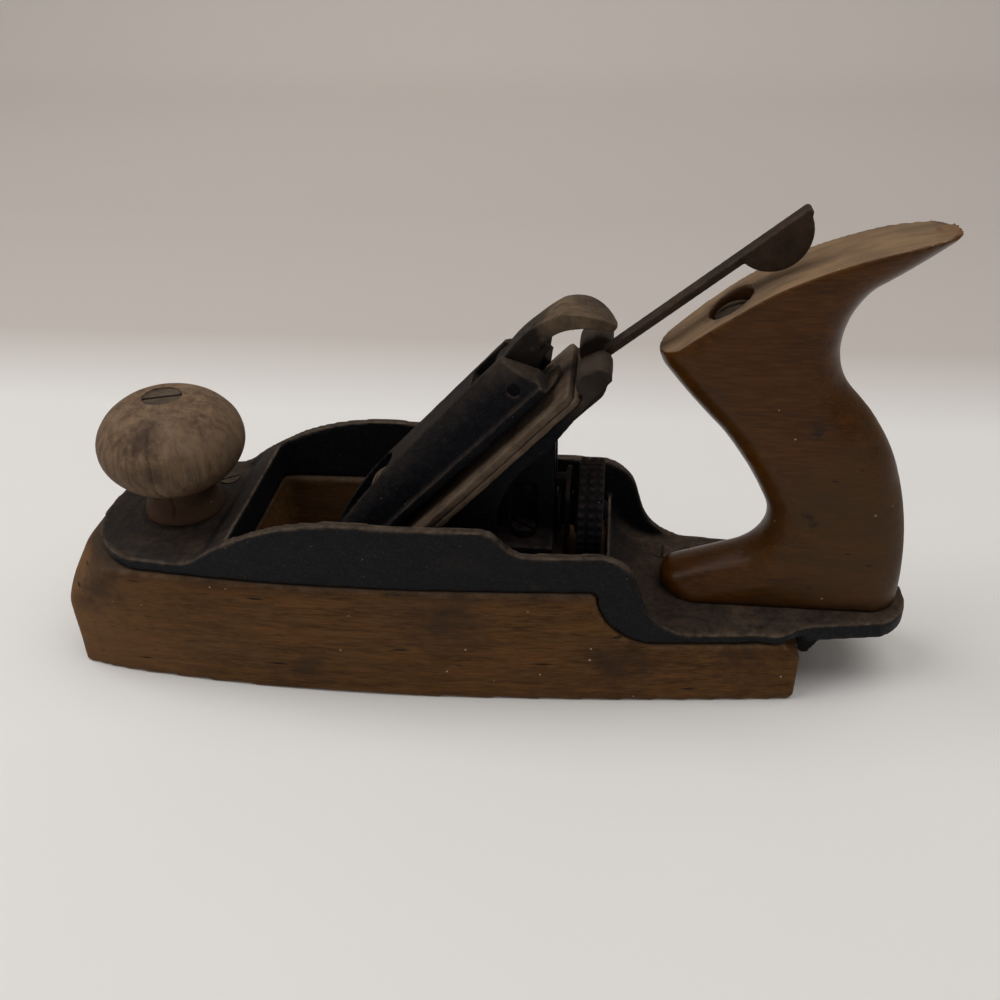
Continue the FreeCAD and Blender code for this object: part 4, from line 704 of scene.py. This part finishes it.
def build_tote():
    s = sizes()
    half = (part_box("tote")[1].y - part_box("tote")[0].y) / 2 / MM
    outline = path_points(TOTE_FRONT) + path_points(TOTE_REAR)
    piece = prism("tote_grip", outline, half)
    remesh(piece, 1.0 * MM, 0)
    round_grip(piece, half * MM, s.tote_round)
    apply_modifier(piece, "SMOOTH", factor=0.5, iterations=5)
    remesh(piece, 0.9 * MM, 2)
    cut_away(piece, prism("tote_top_cutter", path_points(TOTE_TOP) + [(150, 200), (60, 200)], 30))
    cut_away(piece, prism("tote_base_cutter", [(50, TOTE_BASE), (160, TOTE_BASE), (160, 0), (50, 0)], 30))
    top, foot = Vector(NUT_PLACE) * MM, Vector(ROD_FOOT) * MM
    long = (top - foot).length
    outside = 140 * MM
    way = (top - foot).normalized()
    turn = way.to_track_quat("Z", "Y").to_euler()
    # rod bore, then the two steps of the nut's counterbore
    for radius, low, high in ((2.65, -10 * MM, long), (6.4, long - 7 * MM, outside),
                              (4.1, long - 14 * MM, outside)):
        start = foot + way * low
        end = foot + way * high
        bpy.ops.object.select_all(action="DESELECT")
        bpy.ops.mesh.primitive_cylinder_add(vertices=48, radius=radius * MM, depth=(end - start).length,
                                            location=(start + end) / 2, rotation=turn)
        cut_away(piece, bpy.context.active_object)
    remesh(piece, s.tote_grain, 3)
    fray_horn(piece)
    dent(piece, s.wood_dents * 0.6, 7 * MM)
    only(piece)
    bpy.ops.object.transform_apply(location=True, rotation=True, scale=True)
    return settle(piece, "tote", "tote")


# ---------------------------------------------------------------- knob

def crack_knob(piece):
    """Open a drying crack down the knob's near side."""
    s = sizes()
    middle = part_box("knob_screw")
    cx = (middle[0].x + middle[1].x) / 2
    points = points_of(piece)
    normals = np.array([v.normal for v in piece.data.vertices])
    around = np.arctan2(points[:, 1], points[:, 0] - cx)
    radius = np.hypot(points[:, 0] - cx, points[:, 1])
    height = points[:, 2] / MM
    for line, low, high, share in ((-84.5, 47.0, 82.5, 1.0), (-73.0, 80.0, 87.0, 0.7)):
        wander = np.array([noise.noise(Vector((h * 0.35, 3.0, line))) * 2.2
                           + noise.noise(Vector((h * 1.3, 9.0, line))) * 0.9 for h in height])
        lean = (82.5 - height) * 0.02
        centre = np.radians(line + wander + lean)
        gap = np.abs(np.angle(np.exp(1j * (around - centre)))) * radius
        fade = np.clip((height - low) / 3, 0, 1) * np.clip((high - height) / 3, 0, 1)
        fade[radius < 6.5 * MM] = 0
        depth = s.crack_depth * share * fade * np.clip(1 - gap / (s.crack_width * share), 0, 1)
        points -= normals * depth[:, None]
    set_points(piece, points)


# ---------------------------------------------------------------- toe, heel and flange

# Places in mm. The heel's slope is where x + z passes HEEL_SLOPE.
TOE_START = -94.0
TOE_FADE = 12.0
SOLE_FADE = 8.0
HEEL_SLOPE = 131.0
HEEL_START = 104.0
HEEL_TOP = 26.0
FLANGE_TOP = 32.0
FLANGE_OUT = 2.6
FLANGE_MIDDLE = 107.0
FLANGE_SPREAD = 5.5
LUG_START = 114.9
LUG_TOP = 19.3
LUG_DROP = 0.14


def soften_toe(piece):
    """Rub the toe's corners round, most at the very end."""
    group = piece.vertex_groups.new(name="toe")
    for vertex in piece.data.vertices:
        ahead = TOE_START - vertex.co.x / MM
        height = vertex.co.z / MM
        if ahead > 0 and height > 1:
            share = min(1.0, ahead / TOE_FADE) * min(1.0, height / SOLE_FADE)
            group.add([vertex.index], share, "REPLACE")
    apply_modifier(piece, "SMOOTH", factor=0.5, iterations=45, vertex_group="toe")
    piece.vertex_groups.clear()


def slope_heel(piece):
    """Take the heel's top corner off at a slope."""
    places = points_of(piece)
    x, z = places[:, 0] / MM, places[:, 2] / MM
    over = np.clip(x + z - HEEL_SLOPE, 0, None) * (x > HEEL_START) * (z < HEEL_TOP)
    places[:, 0] -= over / 2 * MM
    places[:, 2] -= over / 2 * MM
    set_points(piece, places)


def widen_flange(piece):
    """Bring the flange out flush with the stock beside the heel, and let the rear lug hang lower."""
    places = points_of(piece)
    x, y, z = places.T / MM
    share = np.clip((np.abs(y) - 11) / 6, 0, 1) * (z < FLANGE_TOP)
    out = FLANGE_OUT * np.exp(-((x - FLANGE_MIDDLE) / FLANGE_SPREAD) ** 2)
    places[:, 1] += np.sign(y) * share * out * MM
    places[:, 2] -= np.clip(LUG_TOP - z, 0, None) * (x > LUG_START) * LUG_DROP * MM
    set_points(piece, places)


# ---------------------------------------------------------------- operators

class BuildStep(bpy.types.Operator):
    """Shared part of the building steps"""
    bl_idname = "hand_plane.step"
    bl_label = "Building step"
    bl_options = {"REGISTER", "UNDO"}

    def execute(self, context):
        if not FINISHES:
            FINISHES.update(make_finishes())
        self.build()
        return {"FINISHED"}


class HAND_PLANE_OT_stock(BuildStep):
    """Worn beech stock"""
    bl_idname = "hand_plane.stock"
    bl_label = "Stock"

    def build(self):
        s = sizes()
        piece = worn_copy("stock", "beech_stock", s.stock_grain, 10)
        soften_toe(piece)
        slope_heel(piece)
        dent(piece, s.wood_dents, 26 * MM)
        settle(piece, "stock", "stock")


class HAND_PLANE_OT_frame(BuildStep):
    """Japanned top frame"""
    bl_idname = "hand_plane.frame"
    bl_label = "Top frame"

    def build(self):
        s = sizes()
        piece = worn_copy("top_frame", "iron_top_frame", s.casting_grain, 3, s.casting_dents, 5 * MM)
        widen_flange(piece)
        settle(piece, "top_frame", "frame")


class HAND_PLANE_OT_knob(BuildStep):
    """Front knob with its drying crack"""
    bl_idname = "hand_plane.knob"
    bl_label = "Knob"

    def build(self):
        s = sizes()
        piece = worn_copy("knob", "beech_knob", s.knob_grain, 3, s.wood_dents * 0.5, 5 * MM)
        crack_knob(piece)
        settle(piece, "knob", "knob")


class HAND_PLANE_OT_tote(BuildStep):
    """Rounded rear handle with its horn"""
    bl_idname = "hand_plane.tote"
    bl_label = "Tote"

    def build(self):
        build_tote()


# Slope and height of the wedge taken off under each ear, its half-width, and its place across.
EAR_UNDERSIDE = ((118, -9), (119, -4.6), (137, -1.9), (150, -1.2), (150, -9))
EAR_HALF = 4
EAR_PLACE = 14.5


class HAND_PLANE_OT_frog(BuildStep):
    """Frog that carries the irons"""
    bl_idname = "hand_plane.frog"
    bl_label = "Frog"

    def build(self):
        s = sizes()
        piece = worn_copy("frog", "iron_frog", s.iron_grain * 1.1, 0)
        for side in (-1, 1):
            tool = prism("ear_cutter", [bed_place(*place) for place in EAR_UNDERSIDE], EAR_HALF)
            points = points_of(tool)
            points[:, 1] += EAR_PLACE * MM * side
            set_points(tool, points)
            cut_away(piece, tool)
        remesh(piece, s.iron_grain * 1.1, 3)
        dent(piece, s.casting_dents * 0.7, 4 * MM)
        settle(piece, "frog", "frog")


class HAND_PLANE_OT_irons(BuildStep):
    """Cutter and cap iron"""
    bl_idname = "hand_plane.irons"
    bl_label = "Irons"

    def build(self):
        s = sizes()
        for node, name in (("plane_iron", "cutter_blade"), ("cap_iron", "chip_iron")):
            settle(worn_copy(node, name, s.iron_grain, 2), node, "blade")


class HAND_PLANE_OT_lever_cap(BuildStep):
    """Lever cap with its cam lever"""
    bl_idname = "hand_plane.lever_cap"
    bl_label = "Lever cap"

    def build(self):
        s = sizes()
        piece = worn_copy("lever_cap", "bell_lever_cap", s.iron_grain, 3, s.casting_dents * 0.8, 4 * MM)
        settle(piece, "lever_cap", "cap")
        settle(worn_copy("cam_lever", "cap_cam_lever", s.screw_grain, 4), "cam_lever", "cam")


class HAND_PLANE_OT_adjusters(BuildStep):
    """Depth wheel, yoke and lateral lever"""
    bl_idname = "hand_plane.adjusters"
    bl_label = "Adjusters"

    def build(self):
        g = sizes().screw_grain
        for node, name, finish, slot, grain, passes in (
                ("depth_wheel", "banded_wheel", "wheel", "dark_brass", g * 1.3, 14),
                ("yoke", "iron_yoke", "frog", "japanned_iron", g * 1.5, 5),
                ("lateral_lever", "iron_lateral_lever", "lever", "bare_iron", g * 1.2, 5)):
            settle(worn_copy(node, name, grain, passes), node, finish)


class HAND_PLANE_OT_fastenings(BuildStep):
    """Screws, pins, rod and nut"""
    bl_idname = "hand_plane.fastenings"
    bl_label = "Fastenings"

    def build(self):
        g = sizes().screw_grain
        for node, name, finish, slot in (
                ("knob_screw", "slotted_knob_screw", "screw", "worn_steel"),
                ("frame_screws", "slotted_frame_screws", "screw", "worn_steel"),
                ("lever_cap_screw", "round_head_cap_screw", "screw", "worn_steel"),
                ("tote_nut", "slotted_tote_nut", "nut", "nut_brass")):
            settle(worn_copy(node, name, g * 0.85, 2), node, finish)
        plain = {"tote_rod": "screw", "frog_screws": "dark", "cap_iron_screw": "dark",
                 "lever_cap_spring": "blade", "spring_rivet": "dark", "cam_pin": "dark",
                 "depth_stud": "dark", "yoke_pin": "dark", "lateral_pivot": "lever",
                 "lateral_roller": "lever"}
        for node, finish in plain.items():
            item = frame["nodes"][node]
            item.data.materials.clear()
            item.data.materials.append(FINISHES[finish])


# The sweep: half-width, near edge, where the bend starts, its radius and steps, and the wall above it.
SWEEP_SIDE = 3.0
SWEEP_NEAR = -1.6
BEND_START = 0.85
BEND_RADIUS = 0.32
BEND_STEPS = 12
WALL_RISE = 2.0
# Where the floor turns into the darker paper behind, painted shade for the light falling off, and where
# that gets lighter again, painted light.
PAINTED_SHADE_FADE = (0.150, 0.235)
PAINTED_LIGHT_RISE = (0.45, 0.95)
ROOM_TINT = (1.0, 0.975, 0.95, 1)
ROOM_LIGHT = 0.17
# Name, place, aim, width, watts and tint of each lamp.
LAMPS = (("window", (-0.70, -0.05, 1.15), (0, 0, 0.05), 1.0, 8.4, (1.0, 0.985, 0.965)),
         ("top", (0.40, 0.0, 1.20), (0, 0, 0.0), 1.1, 5.6, (1.0, 0.985, 0.97)),
         ("near_fill", (-0.2, -1.1, 0.55), (0, 0, 0.05), 1.0, 0.8, (1.0, 0.97, 0.94)))
CAMERA_PLACE = (0.053372, -0.256981, 0.223794)
# Tilt down, turn to the left and roll, in degrees.
CAMERA_ANGLES = (33.33, 6.99, -1.29)
CAMERA_LENS = 36.22


class HAND_PLANE_OT_stage(BuildStep):
    """Paper sweep, soft lights and camera"""
    bl_idname = "hand_plane.stage"
    bl_label = "Stage"

    def build(self):
        scene = bpy.context.scene
        bpy.ops.object.select_all(action="DESELECT")
        bpy.ops.mesh.primitive_plane_add(size=1.0, location=(0, 0, 0))
        floor = bpy.context.active_object
        floor.name = "paper_sweep"
        corners = [(side, y) for y in (SWEEP_NEAR, BEND_START) for side in (-SWEEP_SIDE, SWEEP_SIDE)]
        for vertex, (x, y) in zip(floor.data.vertices, corners):
            vertex.co = (x, y, 0)
        bpy.ops.object.mode_set(mode="EDIT")
        bpy.ops.mesh.select_all(action="DESELECT")
        bpy.ops.object.mode_set(mode="OBJECT")
        for edge in floor.data.edges:
            edge.select = all(floor.data.vertices[v].co.y > BEND_START - 0.05 for v in edge.vertices)
        bpy.ops.object.mode_set(mode="EDIT")
        bpy.ops.mesh.select_mode(type="EDGE")
        for i in range(BEND_STEPS):
            low, high = (math.radians(90 / BEND_STEPS * j) for j in (i, i + 1))
            step = (0, BEND_RADIUS * (math.sin(high) - math.sin(low)),
                    BEND_RADIUS * (math.cos(low) - math.cos(high)))
            bpy.ops.mesh.extrude_region_move(TRANSFORM_OT_translate={"value": step})
        bpy.ops.mesh.extrude_region_move(TRANSFORM_OT_translate={"value": (0, 0, WALL_RISE)})
        bpy.ops.object.mode_set(mode="OBJECT")
        only(floor)
        bpy.ops.object.shade_smooth()
        f = Finish("pale_paper")
        tint = f.range(f.cloud(6, 3), 0.3, 0.7)
        base = f.mix(tint, colours().floor, [c * 0.985 for c in colours().floor])
        back = f.axis(f.place, "Y")
        # Painted shade darkens the paper towards the back, and painted light lifts it again further up the
        # wall.
        wall = f.mix(f.range(back, *PAINTED_LIGHT_RISE), colours().wall, [c * 1.25 for c in colours().wall])
        base = f.mix(f.range(back, *PAINTED_SHADE_FADE), base, wall)
        f.bumps((f.cloud(900, 3), 0.02))
        floor.data.materials.append(f.finish(base, 0.62, gloss=0.25))
        world = bpy.data.worlds.new("soft_room")
        world.use_nodes = True
        world.node_tree.nodes["Background"].inputs[0].default_value = ROOM_TINT
        world.node_tree.nodes["Background"].inputs[1].default_value = ROOM_LIGHT
        scene.world = world
        for name, place, aim, wide, power, tint in LAMPS:
            light = bpy.data.lights.new(name, "AREA")
            light.shape = "DISK"
            light.size = wide
            light.energy = power
            light.color = tint
            lamp = bpy.data.objects.new(name, light)
            scene.collection.objects.link(lamp)
            lamp.location = place
            lamp.rotation_euler = (Vector(aim) - Vector(place)).to_track_quat("-Z", "Y").to_euler()
        tilt, turn, roll = (math.radians(angle) for angle in CAMERA_ANGLES)
        ahead = Vector((-math.sin(turn) * math.cos(tilt), math.cos(turn) * math.cos(tilt), -math.sin(tilt)))
        right = Vector((math.cos(turn), math.sin(turn), 0))
        up = right.cross(ahead)
        across = math.cos(roll) * right + math.sin(roll) * up
        upward = math.cos(roll) * up - math.sin(roll) * right
        lens = bpy.data.cameras.new("camera")
        lens.lens = CAMERA_LENS
        lens.sensor_width = 36.0
        lens.clip_start = 0.01
        camera = bpy.data.objects.new("camera", lens)
        scene.collection.objects.link(camera)
        turned = Matrix((across, upward, -ahead)).transposed().to_4x4()
        camera.matrix_world = Matrix.Translation(CAMERA_PLACE) @ turned
        scene.camera = camera
        scene.view_settings.view_transform = "Standard"


STEPS = (HAND_PLANE_OT_stock, HAND_PLANE_OT_frame, HAND_PLANE_OT_knob, HAND_PLANE_OT_tote,
         HAND_PLANE_OT_frog, HAND_PLANE_OT_irons, HAND_PLANE_OT_lever_cap, HAND_PLANE_OT_adjusters,
         HAND_PLANE_OT_fastenings, HAND_PLANE_OT_stage)


class HAND_PLANE_PT_panel(bpy.types.Panel):
    """Building steps and sizes of the hand plane"""
    bl_idname = "HAND_PLANE_PT_panel"
    bl_label = "Hand Plane"
    bl_space_type = "VIEW_3D"
    bl_region_type = "UI"
    bl_category = "Hand Plane"

    def draw(self, context):
        for step in STEPS:
            self.layout.operator(step.bl_idname)
        for group in (context.scene.hand_plane_sizes, context.scene.hand_plane_colours):
            for name in group.__annotations__:
                self.layout.prop(group, name)


CLASSES = (HandPlaneSizes, HandPlaneColours, *STEPS, HAND_PLANE_PT_panel)


def register():
    for item in CLASSES:
        bpy.utils.register_class(item)
    bpy.types.Scene.hand_plane_sizes = PointerProperty(type=HandPlaneSizes)
    bpy.types.Scene.hand_plane_colours = PointerProperty(type=HandPlaneColours)


def unregister():
    del bpy.types.Scene.hand_plane_colours
    del bpy.types.Scene.hand_plane_sizes
    for item in reversed(CLASSES):
        bpy.utils.unregister_class(item)


def main():
    register()
    for step in STEPS:
        getattr(bpy.ops.hand_plane, step.bl_idname.split(".")[1])()


if __name__ == "__main__":
    main()
